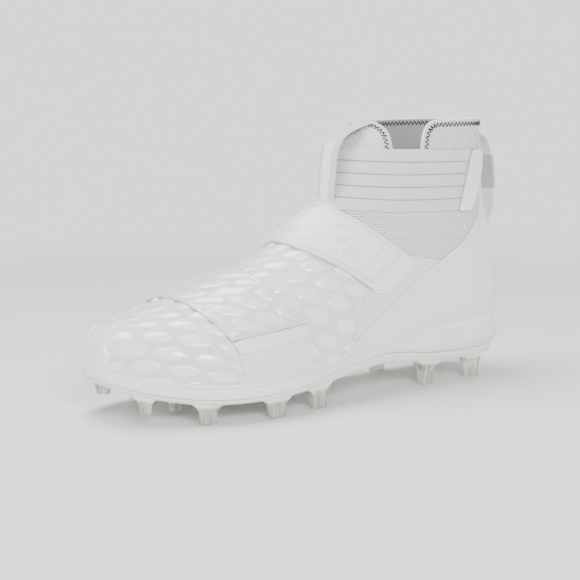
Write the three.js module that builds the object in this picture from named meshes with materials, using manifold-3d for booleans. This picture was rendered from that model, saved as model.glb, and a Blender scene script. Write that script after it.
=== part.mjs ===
// An american football cleat for the left foot, standing empty on its moulded studs.
// Millimetres: +X points to the toe, +Y to the outer side of the foot, +Z up. The ground is z = 0.
// Inside this file x runs from the back of the midsole. The finished group is centred at the end.
import * as THREE from "three";
import { mergeVertices } from "three/addons/utils/BufferGeometryUtils.js";
import Module from "manifold-3d";

const wasm = await Module();
wasm.setup();

// Driving sizes of the last and the sole
const shoeLength = 314; // back of the midsole to its toe
const ballWidth = 106; // of the upper at the ball of the foot
const heelWidth = 76; // of the upper round the heel and the ankle
const instepHeight = 91; // ridge of the instep above the footing at the ball
const shaftHeight = 67; // collar edge above the ridge of the instep
const toeSpring = 10; // rise of the sole from the ball to the tip of the toe
const heelRise = 19; // rise of the footing from the ball to the heel
const studHeight = 11.8; // ball studs, from the ground to the plate
const plateRim = 3.6; // edge of the outsole plate at the ball
const foamThickness = 9.4; // side of the midsole at the ball
const upperWall = 2.6; // knitted bootie with its lining
const insoleThickness = 4;
const clearance = 0.3; // between pieces that meet

// Overlays, as skins over the upper
const counterThickness = 1.2;
const patchThickness = 0.5;
const forefootStrapThickness = 1.3;
const midfootStrapThickness = 2.2;
const ankleStrapThickness = 2.2;
const tabThickness = 1.4;

// Pull loops
const loopThickness = 1.8;
const frontLoopWidth = 18;
const heelLoopWidth = 20;

// Midsole side, outsole plate and insole
const foamMargin = 2.2; // of the midsole's upper edge beyond the last
const ledgeDepth = 1.7; // steps in the side of the heel foam
const foamTuck = 2.6; // how far the midsole's lower edge turns in
const plateInset = 0.2; // of the plate's widest line inside the midsole's lower edge
const plateTaper = 2.6; // of the plate's lower edge inside its upper edge
const insoleGap = 0.8; // between the insole and the wall of the upper

// Studs
const studTip = { length: 11, width: 7 };
const studRoot = { length: 19, width: 13 };
const nubHeightShare = 0.84; // centre nub against a ball stud
const studEmbed = 1.2; // how far a root reaches up into the plate

const colours = {
  foam: 0xf3f3f8,
  plate: 0xdfe3dc,
  knit: 0xf1f1f1,
  leather: 0xf4f3f6,
  elastic: 0xe6e5e2,
  film: 0xf0eeec,
  lining: 0xc9cccd,
};

// A column of a table at t, on a smooth curve through its rows. The rows are ordered by their key column.
function columnAt(rows, key, column, t) {
  const last = rows.length - 1;
  let i = 0;
  while (i < last - 1 && rows[i + 1][key] <= t) i += 1;
  const slope = (j) => {
    const a = rows[Math.max(j - 1, 0)];
    const b = rows[Math.min(j + 1, last)];
    return (b[column] - a[column]) / (b[key] - a[key]);
  };
  const low = rows[i];
  const high = rows[i + 1];
  const span = high[key] - low[key];
  const u = THREE.MathUtils.clamp((t - low[key]) / span, 0, 1);
  const rise = high[column] - low[column];
  const startBend = span * slope(i) - rise;
  const endBend = rise - span * slope(i + 1);
  return low[column] + rise * u + u * (1 - u) * (startBend * (1 - u) + endBend * u);
}

// Turns rows of bare numbers under named columns into records.
const table = (columns, rows) =>
  rows.map((row) => Object.fromEntries(columns.map((name, i) => [name, row[i]])));

// The sole's side view. along is a share of the shoe's length, toe of toeSpring, heel of heelRise,
// foam of foamThickness and rim of plateRim.
const soleLine = table(["along", "toe", "heel", "foam", "rim"], [
  [0.0, 0, 1.04, 2.22, 1.8],
  [0.08, 0, 1.0, 2.27, 1.8],
  [0.17, 0, 0.94, 2.21, 1.87],
  [0.25, 0, 0.86, 1.91, 2.0],
  [0.32, 0, 0.7, 1.29, 2.0],
  [0.39, 0, 0.54, 0.8, 2.07],
  [0.45, 0, 0.38, 0.73, 1.7],
  [0.51, 0, 0.24, 0.75, 1.55],
  [0.57, 0, 0.12, 0.79, 1.5],
  [0.64, 0, 0.03, 0.92, 1.2],
  [0.71, 0, 0, 1.0, 1.0],
  [0.78, 0, 0, 1.02, 1.0],
  [0.85, 0.12, 0, 1.03, 1.0],
  [0.92, 0.42, 0, 1.0, 1.0],
  [0.97, 0.74, 0, 0.92, 1.0],
  [1.0, 1.0, 0, 0.88, 1.0],
]);
const ballFooting = studHeight + plateRim + foamThickness;
const soleAt = (column, x) => columnAt(soleLine, "along", column, x / shoeLength);
const footing = (x) => ballFooting + toeSpring * soleAt("toe", x) + heelRise * soleAt("heel", x);
const foamBottom = (x) => footing(x) - foamThickness * soleAt("foam", x);
const plateBottom = (x) => foamBottom(x) - plateRim * soleAt("rim", x);

// A point of the side view: along the shoe's length, with rise as a share of instepHeight
// and shaft as a share of shaftHeight above the footing at the ball.
const sidePoint = ([along, rise, shaft = 0]) =>
  new THREE.Vector2(
    along * shoeLength,
    ballFooting + rise * instepHeight + shaft * shaftHeight,
  );

// Sections of the last, from the toe to above the collar. Each lies in a plane through a top point and a
// bottom point of the side view: along is a share of shoeLength, rise of instepHeight and shaft of
// shaftHeight, measured from the footing there. centre and ridge shift the middle and the top sideways and
// ball widens the section, as shares of half the ball width, and heel as a share of half the heel width.
// widest is where the section is widest, and crown and base are the powers of its upper and lower arcs.
const lastColumns = [
  "row",
  "topAlong", "topRise", "topShaft",
  "lowAlong", "lowRise", "lowShaft",
  "centre", "ridge", "ball", "heel",
  "widest", "crown", "base",
];
const lastRows = table(lastColumns, [
  [0, 0.998, 0.02, 0, 0.998, -0.02, 0, -0.23, -0.23, 0.02, 0, 0.5, 2, 2],
  [1, 0.998, 0.09, 0, 0.997, -0.08, 0, -0.23, -0.23, 0.19, 0, 0.42, 2.1, 2.4],
  [2, 0.991, 0.182, 0, 0.991, -0.1, 0, -0.226, -0.228, 0.36, 0, 0.36, 2.2, 2.8],
  [3, 0.967, 0.277, 0, 0.966, -0.1, 0, -0.19, -0.21, 0.53, 0, 0.32, 2.25, 3.2],
  [4, 0.905, 0.383, 0, 0.905, -0.095, 0, -0.13, -0.18, 0.735, 0, 0.3, 2.3, 3.6],
  [5, 0.83, 0.495, 0, 0.83, -0.093, 0, -0.06, -0.15, 0.89, 0, 0.28, 2.25, 3.8],
  [6, 0.745, 0.601, 0, 0.742, -0.092, 0, 0, -0.12, 0.96, 0, 0.26, 2.15, 3.8],
  [7, 0.66, 0.692, 0, 0.65, -0.09, 0, 0.038, -0.1, 0.93, 0, 0.26, 2.05, 3.8],
  [8, 0.588, 0.796, 0, 0.552, -0.088, 0, 0.075, -0.085, 0.81, 0, 0.28, 2.0, 3.8],
  [9, 0.533, 0.918, 0, 0.438, -0.087, 0, 0.075, -0.066, 0.4, 0.48, 0.31, 2.0, 3.5],
  [10, 0.489, 1, 0.0, 0.3, -0.091, 0, 0.047, -0.047, 0.1, 0.86, 0.36, 2.0, 3.2],
  [11, 0.458, 1, 0.11, 0.15, -0.1, 0, 0.02, -0.038, 0, 1, 0.4, 2.05, 3],
  [12, 0.438, 1, 0.232, 0.031, -0.07, 0, 0.01, -0.028, 0, 1.03, 0.43, 2.1, 2.7],
  [13, 0.426, 1, 0.376, 0.006, 0.195, 0, 0, -0.02, 0, 1.03, 0.46, 2.15, 2.4],
  [14, 0.415, 1, 0.52, 0.025, 0.57, 0, 0, -0.01, 0, 1.0, 0.48, 2.2, 2.3],
  [15, 0.396, 1, 0.666, 0.053, 0.965, 0, 0, 0, 0, 0.975, 0.5, 2.25, 2.2],
  [16, 0.368, 1, 0.785, 0.0625, 1, 0.44, 0, 0, 0, 0.985, 0.5, 2.25, 2.2],
  [17, 0.333, 1, 0.9, 0.062, 1, 0.89, 0, 0, 0, 1, 0.5, 2.25, 2.2],
]);
const stationsPerRow = [1, 1, 2, 2, 2, 2, 2, 2, 2, 2, 2, 2, 2, 2, 1, 1, 1];
const aroundCount = 28;
const lastAt = (column, s) => columnAt(lastRows, "row", column, s);

// The last's surface at station s. The angle runs from the ridge over the outer side to the bottom.
function lastPoint(s, angle) {
  const place = (end) => {
    const x = lastAt(`${end}Along`, s) * shoeLength;
    const rise = lastAt(`${end}Rise`, s) * instepHeight;
    return new THREE.Vector2(x, footing(x) + rise + lastAt(`${end}Shaft`, s) * shaftHeight);
  };
  const top = place("top");
  const low = place("low");
  const widest = lastAt("widest", s);
  const up = Math.cos(angle);
  const side = Math.sin(angle);
  const power = 2 / lastAt(up > 0 ? "crown" : "base", s);
  const reach = up > 0 ? 1 - widest : widest;
  const q = widest + reach * Math.sign(up) * Math.abs(up) ** power;
  const half = (lastAt("ball", s) * ballWidth + lastAt("heel", s) * heelWidth) / 2;
  const lean = THREE.MathUtils.lerp(lastAt("centre", s), lastAt("ridge", s), q);
  const middle = (lean * ballWidth) / 2;
  const y = middle + half * Math.sign(side) * Math.abs(side) ** power;
  const flat = low.clone().lerp(top, q);
  return new THREE.Vector3(flat.x, y, flat.y);
}

function lastNormal(s, angle) {
  const step = 1e-3;
  const end = lastRows.length - 1;
  const before = Math.max(s - step, 0);
  const after = Math.min(s + step, end);
  const along = lastPoint(after, angle).sub(lastPoint(before, angle));
  const around = lastPoint(s, angle + step).sub(lastPoint(s, angle - step));
  return around.cross(along).normalize();
}

const lastStations = stationsPerRow.flatMap((count, row) =>
  Array.from({ length: count }, (_, i) => row + i / count),
);
lastStations.push(lastRows.length - 1);
// Half a step off the ridge, so that no sample falls on an arc's ends, where its slope isn't defined.
const lastAngles = Array.from(
  { length: aroundCount },
  (_, i) => ((i + 0.5) / aroundCount) * 2 * Math.PI,
);
const lastGrid = lastStations.map((s) =>
  lastAngles.map((angle) => ({ at: lastPoint(s, angle), out: lastNormal(s, angle) })),
);

// A closed tube through rings of equally many points, with a fan over each end.
function tubeGeometry(rings) {
  const count = rings[0].length;
  const points = rings.flat();
  const faces = [];
  const at = (ring, i) => ring * count + (i % count);
  for (let ring = 0; ring < rings.length - 1; ring += 1) {
    for (let i = 0; i < count; i += 1) {
      faces.push([at(ring, i), at(ring, i + 1), at(ring + 1, i)]);
      faces.push([at(ring, i + 1), at(ring + 1, i + 1), at(ring + 1, i)]);
    }
  }
  for (const ring of [0, rings.length - 1]) {
    const middle = rings[ring].reduce((sum, p) => sum.add(p), new THREE.Vector3());
    points.push(middle.divideScalar(count));
    for (let i = 0; i < count; i += 1) {
      const face = [at(ring, i + 1), at(ring, i), points.length - 1];
      faces.push(ring === 0 ? face : face.reverse());
    }
  }
  return indexedGeometry(points, faces);
}

function indexedGeometry(points, faces) {
  const geometry = new THREE.BufferGeometry().setFromPoints(points);
  geometry.setIndex(faces.flat());
  return geometry;
}

function solidOf(geometry) {
  const bare = geometry.clone();
  bare.deleteAttribute("normal");
  bare.deleteAttribute("uv");
  const merged = mergeVertices(bare, 1e-4);
  return new wasm.Manifold(
    new wasm.Mesh({
      numProp: 3,
      vertProperties: merged.attributes.position.array,
      triVerts: new Uint32Array(merged.index.array),
    }),
  );
}

function geometryOf(solid) {
  const mesh = solid.getMesh();
  const geometry = new THREE.BufferGeometry();
  geometry.setAttribute("position", new THREE.BufferAttribute(mesh.vertProperties, 3));
  geometry.setIndex(new THREE.BufferAttribute(mesh.triVerts, 1));
  const faceted = geometry.toNonIndexed();
  faceted.computeVertexNormals();
  return faceted;
}

// The last grown outwards by a distance, or shrunk by a negative one.
const grownLast = (grow) =>
  solidOf(
    tubeGeometry(
      lastGrid.map((ring) => ring.map(({ at, out }) => at.clone().addScaledVector(out, grow))),
    ),
  );
const skin = (inner, outer) => grownLast(outer).subtract(grownLast(inner));

// A slab of the side view's outline, from one y to another. Corners listed in rounds are rounded.
const wide = 90; // beyond the shoe on either side
function sideSlab(corners, fromY = -wide, toY = wide, rounds = {}) {
  const shape = new THREE.Shape();
  corners.forEach((corner, i) => {
    const radius = rounds[i] ?? 0;
    const before = corners[(i + corners.length - 1) % corners.length];
    const after = corners[(i + 1) % corners.length];
    const start = corner.clone().add(before.clone().sub(corner).setLength(radius));
    const end = corner.clone().add(after.clone().sub(corner).setLength(radius));
    if (i === 0) shape.moveTo(start.x, start.y);
    else shape.lineTo(start.x, start.y);
    if (radius > 0) shape.quadraticCurveTo(corner.x, corner.y, end.x, end.y);
  });
  const slab = new THREE.ExtrudeGeometry(shape, {
    depth: toY - fromY,
    bevelEnabled: false,
    curveSegments: 5,
  });
  // The shape's height becomes z, and its depth runs towards -y.
  slab.rotateX(Math.PI / 2);
  slab.translate(0, toY, 0);
  return solidOf(slab);
}

// Everything under the sole's footing, raised by a distance, as one slab.
function underFooting(raise) {
  const reach = 0.05;
  const count = 60;
  const line = Array.from({ length: count + 1 }, (_, i) => {
    const along = -reach + (1 + 2 * reach) * (i / count);
    const x = along * shoeLength;
    return new THREE.Vector2(x, footing(x) + raise);
  });
  return sideSlab([
    new THREE.Vector2((1 + reach) * shoeLength, -shoeLength),
    new THREE.Vector2(-reach * shoeLength, -shoeLength),
    ...line,
  ].reverse());
}

// The collar's edge in side view, from its back to its front.
const collarBack = [-0.1, 1, 1.04];
const collarFront = [0.5, 1, 0.97];

function upperSolid() {
  const notch = [
    [0.357, 1, 1.3],
    [0.357, 1, 0.985],
    [0.3535, 1, 0.95],
    [0.3505, 1, 0.9],
    [0.349, 1, 0.83],
    [0.349, 1, 0.6],
    [0.2925, 1, 0.6],
    [0.291, 1, 0.74],
    [0.286, 1, 0.87],
    [0.279, 1, 0.94],
    [0.271, 1, 0.975],
    [0.262, 1, 0.985],
    [0.262, 1, 1.3],
  ].map(sidePoint);
  const above = [collarBack, collarFront, [0.5, 1, 2], [-0.1, 1, 2]].map(sidePoint);
  return grownLast(0)
    .subtract(grownLast(-upperWall))
    .subtract(underFooting(clearance))
    .subtract(sideSlab(above))
    .subtract(sideSlab(notch, 0, wide, { 5: 4, 6: 4 }));
}

const withoutSole = (solid) => solid.subtract(underFooting(clearance));

// Where the last meets its footing, as one loop from the toe along the outer side and back along the inner.
const footCount = 60;
function footLoop() {
  const crossing = (s, side) => {
    let above = 0.5 * Math.PI;
    let below = Math.PI;
    for (let i = 0; i < 30; i += 1) {
      const angle = (above + below) / 2;
      const point = lastPoint(s, side * angle);
      if (point.z > footing(point.x)) above = angle;
      else below = angle;
    }
    return lastPoint(s, side * below);
  };
  // The row where the back of the heel leaves the footing
  let heelRow = 12;
  while (lastAt("lowRise", heelRow) < 0) heelRow += 0.001;
  const nearHeel = [11.5, 11.8, 12, 12.1].filter((s) => s < heelRow - 0.06);
  const stations = [0.3, 0.7, 1, 1.5, 2, 2.5, 3, 3.5, 4, 5, 6, 7, 8, 9, 10, 11, ...nearHeel];
  const outer = stations.map((s) => crossing(s, 1));
  const inner = stations.map((s) => crossing(s, -1)).reverse();
  const back = lastPoint(heelRow, Math.PI);
  const loop = new THREE.CatmullRomCurve3([...outer, back, ...inner], true, "centripetal");
  loop.arcLengthDivisions = 1500;
  return Array.from({ length: footCount }, (_, i) => loop.getPointAt(i / footCount));
}
const footPoints = footLoop();
const footOut = footPoints.map((_, i) => {
  const before = footPoints[(i + footCount - 1) % footCount];
  const after = footPoints[(i + 1) % footCount];
  return new THREE.Vector3(after.y - before.y, before.x - after.x, 0).normalize();
});

// A body whose side runs round the foot loop. Every level has an offset outwards and a height,
// both worked out at a point's x. Its ends are closed across the foot.
function soleBody(levels) {
  const points = levels.flatMap(({ offset, height }) =>
    footPoints.map((p, i) => {
      const q = p.clone().addScaledVector(footOut[i], offset(p.x));
      return q.setZ(height(p.x));
    }),
  );
  const faces = [];
  const at = (level, i) => level * footCount + ((i + footCount) % footCount);
  for (let level = 0; level < levels.length - 1; level += 1) {
    for (let i = 0; i < footCount; i += 1) {
      faces.push([at(level, i), at(level + 1, i), at(level, i + 1)]);
      faces.push([at(level, i + 1), at(level + 1, i), at(level + 1, i + 1)]);
    }
  }
  for (const level of [0, levels.length - 1]) {
    const half = footCount / 2;
    for (let i = 0; i < half; i += 1) {
      const quad = [at(level, i), at(level, i + 1), at(level, -i - 1), at(level, -i)];
      const halves = [
        [quad[0], quad[1], quad[2]],
        [quad[0], quad[2], quad[3]],
      ].filter((face) => new Set(face).size === 3);
      halves.forEach((face) => faces.push(level === 0 ? face : face.reverse()));
    }
  }
  return solidOf(indexedGeometry(points, faces));
}

// Levels down the side of the midsole: depth is a share of its thickness, out of foamMargin, ledge of
// ledgeDepth at the heel, fading forward, and tuck of foamTuck, which is twofold at the heel.
const foamSide = table(["depth", "out", "ledge", "tuck"], [
  [0.0, 0.55, 0, 0],
  [0.08, 1.0, 0, 0],
  [0.21, 1.1, 0, 0],
  [0.25, 0.7, 0, 0],
  [0.29, 1.15, 0.2, 0],
  [0.43, 1.3, 0.3, 0],
  [0.46, 1.3, 1.3, 0],
  [0.59, 1.3, 1.4, 0.1],
  [0.62, 1.25, 2.2, 0.1],
  [0.78, 1.05, 1.6, 0.15],
  [0.92, 0.95, 0.9, 0.2],
  [1.0, 0.7, 0.6, 0.35],
]);
const heelShare = (x) => 1 - THREE.MathUtils.smoothstep(x / shoeLength, 0.12, 0.48);
const toeMargin = (x) => foamMargin * (1 - 0.65 * THREE.MathUtils.smoothstep(x / shoeLength, 0.84, 0.99));

const foamReach = ({ out, ledge, tuck }, x) =>
  toeMargin(x) * out + ledgeDepth * ledge * heelShare(x) - foamTuck * tuck * (1 + heelShare(x));

function midsoleSolid() {
  return soleBody(
    foamSide.map((row) => ({
      offset: (x) => foamReach(row, x),
      height: (x) => THREE.MathUtils.lerp(footing(x), foamBottom(x), row.depth),
    })),
  );
}

function insoleSolid() {
  const inset = -(upperWall + insoleGap);
  return soleBody([
    { offset: () => inset - 3, height: (x) => footing(x) + clearance + insoleThickness },
    { offset: () => inset - 2, height: (x) => footing(x) + clearance + insoleThickness - 0.8 },
    { offset: () => inset - 1.2, height: (x) => footing(x) + clearance },
  ]);
}

// Studs: along is a share of shoeLength, across of half the ball width, turn is in degrees
// and size scales the foot of the stud.
const studs = table(["along", "across", "turn", "size"], [
  [0.934, 0.4, 58, 0.8],
  [0.94, -0.62, -62, 0.8],
  [0.828, 0.7, 22, 1],
  [0.845, -0.78, -18, 1],
  [0.69, 0.9, 4, 1],
  [0.71, -0.79, -4, 1],
  [0.574, 0.79, -8, 1],
  [0.58, -0.62, 8, 1],
  [0.246, 0.51, 6, 1],
  [0.246, -0.51, -6, 1],
  [0.108, 0.48, -14, 0.95],
  [0.108, -0.48, 14, 0.95],
]);
const nub = { along: 0.838, across: 0.05, turn: 0, size: 0.8 };

// Corners of a stud's foot, as shares of half its length and half its width: chamfered,
// with a hollow in each long side.
const studCorners = [
  [1, 0.5], [0.7, 1], [0.25, 0.86], [-0.25, 0.86], [-0.7, 1], [-1, 0.5],
  [-1, -0.5], [-0.7, -1], [-0.25, -0.86], [0.25, -0.86], [0.7, -1], [1, -0.5],
];
// How a stud widens upwards: level is a share of its height and flare runs from tip to root.
const studFlare = table(["level", "flare"], [
  [0, 0],
  [0.45, 0.16],
  [0.75, 0.5],
  [1, 1],
]);

function studSolid({ along, across, turn, size }, shortness = 1) {
  const x = along * shoeLength;
  const y = (across * ballWidth) / 2;
  const root = plateBottom(x);
  const onGround = along < 0.88;
  const toeStudHeight = studHeight * (across > 0 ? 0.82 : 0.58);
  const foot = onGround ? root * (1 - shortness) : root - toeStudHeight;
  const ring = (level, flare) =>
    studCorners.map(([alongTip, acrossTip]) => {
      const length = THREE.MathUtils.lerp(studTip.length, studRoot.length, flare) * size;
      const width = THREE.MathUtils.lerp(studTip.width, studRoot.width, flare) * size;
      const p = new THREE.Vector3((alongTip * length) / 2, (acrossTip * width) / 2, 0);
      p.applyAxisAngle(new THREE.Vector3(0, 0, 1), THREE.MathUtils.degToRad(turn));
      p.add(new THREE.Vector3(x, y, 0));
      return p.setZ(THREE.MathUtils.lerp(foot, plateBottom(p.x), level));
    });
  const rings = studFlare.map(({ level, flare }) => ring(level, flare));
  rings.push(ring(1, 0.9).map((p) => p.setZ(p.z + studEmbed)));
  return solidOf(tubeGeometry(rings));
}

function plateSolid() {
  const top = (x) => foamBottom(x) - clearance;
  const edge = (x) => foamReach(foamSide.at(-1), x) - plateInset;
  const body = soleBody([
    { offset: (x) => edge(x) - 0.25, height: top },
    { offset: edge, height: (x) => THREE.MathUtils.lerp(top(x), plateBottom(x), 0.3) },
    {
      offset: (x) => edge(x) - plateTaper * 0.35,
      height: (x) => THREE.MathUtils.lerp(top(x), plateBottom(x), 0.75),
    },
    { offset: (x) => edge(x) - plateTaper, height: plateBottom },
  ]);
  const feet = studs.map((stud) => studSolid(stud));
  feet.push(studSolid(nub, nubHeightShare));
  return feet.reduce((sum, foot) => sum.add(foot), body);
}

// Outlines of the overlays in side view.
const counterEdge = [
  [0.088, 1, 0.72],
  [0.105, 1, 0.17],
  [0.117, 1, 0.05],
  [0.147, 0.92],
  [0.19, 0.79],
  [0.284, 0.6],
  [0.395, 0.355],
  [0.477, 0.18],
  [0.56, 0],
  [0.61, -0.12],
];
const counterBack = [[-0.1, -0.5], [-0.1, 1, 0.84], [0.076, 1, 0.84]];
const counterOutline = [...counterEdge, [0.6, -0.5], ...counterBack];
const counterInnerOutline = [
  ...counterEdge.slice(0, 6), [0.36, 0.36], [0.395, 0.16], [0.405, 0], [0.41, -0.5], ...counterBack,
];
const forefootPatchOutline = [
  [0.778, 0.24], [0.611, 0.31], [0.6, 0.1], [0.606, -0.3], [0.75, -0.3], [0.762, 0],
];
const forefootStrapOuter = [
  [0.862, 0.66], [0.7, 0.86], [0.688, 0.72], [0.652, 0.5], [0.611, 0.341], [0.784, 0.271],
];
const forefootStrapInner = [
  [0.688, 0.72], [0.7, 0.86], [0.862, 0.66], [0.832, 0.52], [0.852, -0.2], [0.655, -0.2],
  [0.668, 0.4],
];
const forefootTabOutline = [
  [0.784, 0.266], [0.611, 0.336], [0.602, 0.258], [0.771, 0.184],
];
const midfootPatchOutline = [
  [0.305, 0.735], [0.23, 0.68], [0.3, 0.5], [0.42, 0.25], [0.49, 0.18], [0.455, 0.45], [0.4, 0.66],
];
const midfootStrapOuter = [
  [0.505, 1, 0.25], [0.59, 0.96], [0.575, 0.835], [0.5, 0.685], [0.428, 0.515], [0.401, 0.5],
  [0.332, 0.66], [0.329, 0.73],
];
const midfootStrapInner = [
  [0.575, 0.835], [0.59, 0.96], [0.505, 1, 0.25], [0.472, 1, 0.132], [0.44, 0.6],
  [0.425, -0.2], [0.555, -0.2], [0.565, 0.4],
];
const midfootTrimOutline = [
  [0.438, 0.535], [0.424, 0.486], [0.392, 0.478], [0.318, 0.65], [0.316, 0.715], [0.336, 0.75],
];
const ankleStrapOutline = [
  [0.15, 1, 0.69], [0.5, 1, 0.725], [0.56, 1, 0.3], [0.41, 1, 0.092], [0.198, 1, 0.074],
];
const ankleTabOutline = [
  [0.072, 1, 0.688], [0.1475, 1, 0.69], [0.1955, 1, 0.068], [0.156, 1, 0.062],
];
const shapeOf = (outline) => outline.map((corner) => sidePoint(corner));
const outerSide = (outline, rounds) => sideSlab(shapeOf(outline), 0, wide, rounds);
const innerSide = (outline, rounds) => sideSlab(shapeOf(outline), -wide, 0, rounds);
const bothSides = (outline, rounds) => sideSlab(shapeOf(outline), -wide, wide, rounds);

const counterLift = clearance;
const counterTop = counterLift + counterThickness;
const patchTop = clearance + patchThickness;
const strapLift = patchTop + clearance;

function counterSolid() {
  const reach = outerSide(counterOutline).add(innerSide(counterInnerOutline));
  return withoutSole(skin(counterLift, counterTop)).intersect(reach);
}
function forefootPatchSolid() {
  return withoutSole(skin(clearance, patchTop)).intersect(outerSide(forefootPatchOutline));
}
function midfootPatchSolid() {
  const nextToCounter = counterOutline.map(([along, ...rest]) => [along + 0.002, ...rest]);
  return skin(clearance, patchTop)
    .intersect(outerSide(midfootPatchOutline, { 0: 3 }))
    .subtract(bothSides(nextToCounter));
}
function forefootStrapSolid() {
  const reach = outerSide(forefootStrapOuter).add(innerSide(forefootStrapInner));
  return withoutSole(skin(strapLift, strapLift + forefootStrapThickness)).intersect(reach);
}
function forefootTabSolid() {
  return skin(strapLift, strapLift + tabThickness).intersect(outerSide(forefootTabOutline, { 2: 2, 3: 2 }));
}
function midfootStrapSolid() {
  const end = outerSide(midfootTrimOutline);
  const reach = outerSide(midfootStrapOuter).add(innerSide(midfootStrapInner));
  return withoutSole(skin(strapLift, strapLift + midfootStrapThickness))
    .intersect(reach)
    .subtract(end);
}
function midfootTrimSolid() {
  const inset = midfootTrimOutline.map(([along, ...rest]) => [along - 0.0015, ...rest]);
  return skin(strapLift, strapLift + midfootStrapThickness * 0.8).intersect(
    outerSide(inset, { 1: 2.5, 2: 4, 3: 2.5, 4: 2.5 }),
  );
}
function ankleStrapSolid() {
  return skin(clearance, clearance + ankleStrapThickness).intersect(bothSides(ankleStrapOutline));
}
function ankleTabSolid(side) {
  const outline = side > 0 ? outerSide(ankleTabOutline) : innerSide(ankleTabOutline);
  const lift = counterTop + clearance;
  return skin(lift, lift + tabThickness).intersect(outline);
}

// A ribbon standing on edge, drawn by points on its middle line in side view.
function ribbon(line, width, thickness) {
  const curve = new THREE.SplineCurve(line);
  const points = curve.getPoints(line.length * 3);
  const outs = points.map((_, i) => {
    const a = points[Math.max(i - 1, 0)];
    const b = points[Math.min(i + 1, points.length - 1)];
    return new THREE.Vector2(a.y - b.y, b.x - a.x).setLength(thickness / 2);
  });
  const left = points.map((p, i) => p.clone().add(outs[i]));
  const right = points.map((p, i) => p.clone().sub(outs[i])).reverse();
  return sideSlab([...left, ...right], -width / 2, width / 2);
}

// Pull loops: points of their middle lines, as in sidePoint.
const frontLoopLine = [
  [0.466, 1, 0.08], [0.463, 1, 0.24], [0.459, 1, 0.44], [0.4545, 1, 0.62], [0.448, 1, 0.735],
  [0.4345, 1, 0.822], [0.4115, 1, 0.885], [0.378, 1, 0.94], [0.345, 1, 0.965],
];
const heelLoopLine = [
  [0.085, 1, 0.89], [0.046, 1, 0.865], [0.016, 1, 0.78], [0.003, 1, 0.62], [-0.006, 1, 0.38],
  [-0.007, 1, 0.16], [-0.001, 0.98], [0.018, 0.87], [0.05, 0.82],
];
function frontLoopSolid() {
  // A little above and behind the strap's own outline.
  const apart = (outline) => outline.map(([along, rise, ...rest]) => [along - 0.0012, rise + 0.005, ...rest]);
  const under = outerSide(apart(midfootStrapOuter)).add(innerSide(apart(midfootStrapInner)));
  return ribbon(frontLoopLine.map(sidePoint), frontLoopWidth, loopThickness)
    .subtract(grownLast(ankleStrapThickness + 2 * clearance))
    .subtract(under);
}
function heelLoopSolid() {
  return ribbon(heelLoopLine.map(sidePoint), heelLoopWidth, loopThickness).subtract(
    grownLast(counterTop + clearance),
  );
}

const nodes = [
  { name: "outsole_plate", solid: plateSolid(), color: colours.plate, roughness: 0.15 },
  { name: "midsole", solid: midsoleSolid(), color: colours.foam, roughness: 0.6 },
  { name: "insole", solid: insoleSolid(), color: colours.lining, roughness: 0.9 },
  { name: "upper", solid: upperSolid(), color: colours.knit, roughness: 0.8 },
  { name: "heel_counter", solid: counterSolid(), color: colours.leather, roughness: 0.45 },
  { name: "forefoot_patch", solid: forefootPatchSolid(), color: colours.leather, roughness: 0.4 },
  { name: "forefoot_strap", solid: forefootStrapSolid(), color: colours.film, roughness: 0.25 },
  { name: "forefoot_strap_tab", solid: forefootTabSolid(), color: colours.leather, roughness: 0.45 },
  { name: "midfoot_patch", solid: midfootPatchSolid(), color: colours.leather, roughness: 0.5 },
  { name: "midfoot_strap", solid: midfootStrapSolid(), color: colours.leather, roughness: 0.5 },
  { name: "midfoot_strap_trim", solid: midfootTrimSolid(), color: colours.film, roughness: 0.35 },
  { name: "ankle_strap", solid: ankleStrapSolid(), color: colours.elastic, roughness: 0.85 },
  { name: "ankle_strap_tab_outer", solid: ankleTabSolid(1), color: colours.leather, roughness: 0.5 },
  { name: "ankle_strap_tab_inner", solid: ankleTabSolid(-1), color: colours.leather, roughness: 0.5 },
  { name: "front_pull_loop", solid: frontLoopSolid(), color: colours.elastic, roughness: 0.7 },
  { name: "heel_pull_loop", solid: heelLoopSolid(), color: colours.elastic, roughness: 0.7 },
];

const cleat = new THREE.Group();
for (const { name, solid, color, roughness } of nodes) {
  const material = new THREE.MeshStandardMaterial({ color, roughness, metalness: 0 });
  const mesh = new THREE.Mesh(geometryOf(solid), material);
  mesh.name = name;
  cleat.add(mesh);
}

// The middle of the shoe's outline on the ground becomes the origin.
const extent = new THREE.Box3().setFromObject(cleat);
const middle = extent.getCenter(new THREE.Vector3());
cleat.children.forEach((mesh) => mesh.geometry.translate(-middle.x, -middle.y, -extent.min.z));

export default cleat;
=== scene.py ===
import math

import bpy
import numpy as np
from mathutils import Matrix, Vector
from mathutils.bvhtree import BVHTree


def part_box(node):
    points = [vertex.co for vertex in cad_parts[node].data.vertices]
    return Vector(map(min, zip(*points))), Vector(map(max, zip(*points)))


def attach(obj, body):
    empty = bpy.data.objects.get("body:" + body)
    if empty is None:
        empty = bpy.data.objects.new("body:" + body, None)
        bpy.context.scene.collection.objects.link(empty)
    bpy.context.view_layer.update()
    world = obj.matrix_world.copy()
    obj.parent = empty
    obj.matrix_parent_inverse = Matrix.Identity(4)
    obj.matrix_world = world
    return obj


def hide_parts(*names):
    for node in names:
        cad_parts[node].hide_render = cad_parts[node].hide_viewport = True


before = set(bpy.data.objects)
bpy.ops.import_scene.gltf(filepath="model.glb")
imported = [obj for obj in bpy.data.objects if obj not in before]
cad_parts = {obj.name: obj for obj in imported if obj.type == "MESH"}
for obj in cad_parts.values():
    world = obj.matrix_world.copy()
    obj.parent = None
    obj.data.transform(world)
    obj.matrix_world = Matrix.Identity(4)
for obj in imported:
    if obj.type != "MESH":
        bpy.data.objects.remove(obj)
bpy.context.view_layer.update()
print("frame loaded")

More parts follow.
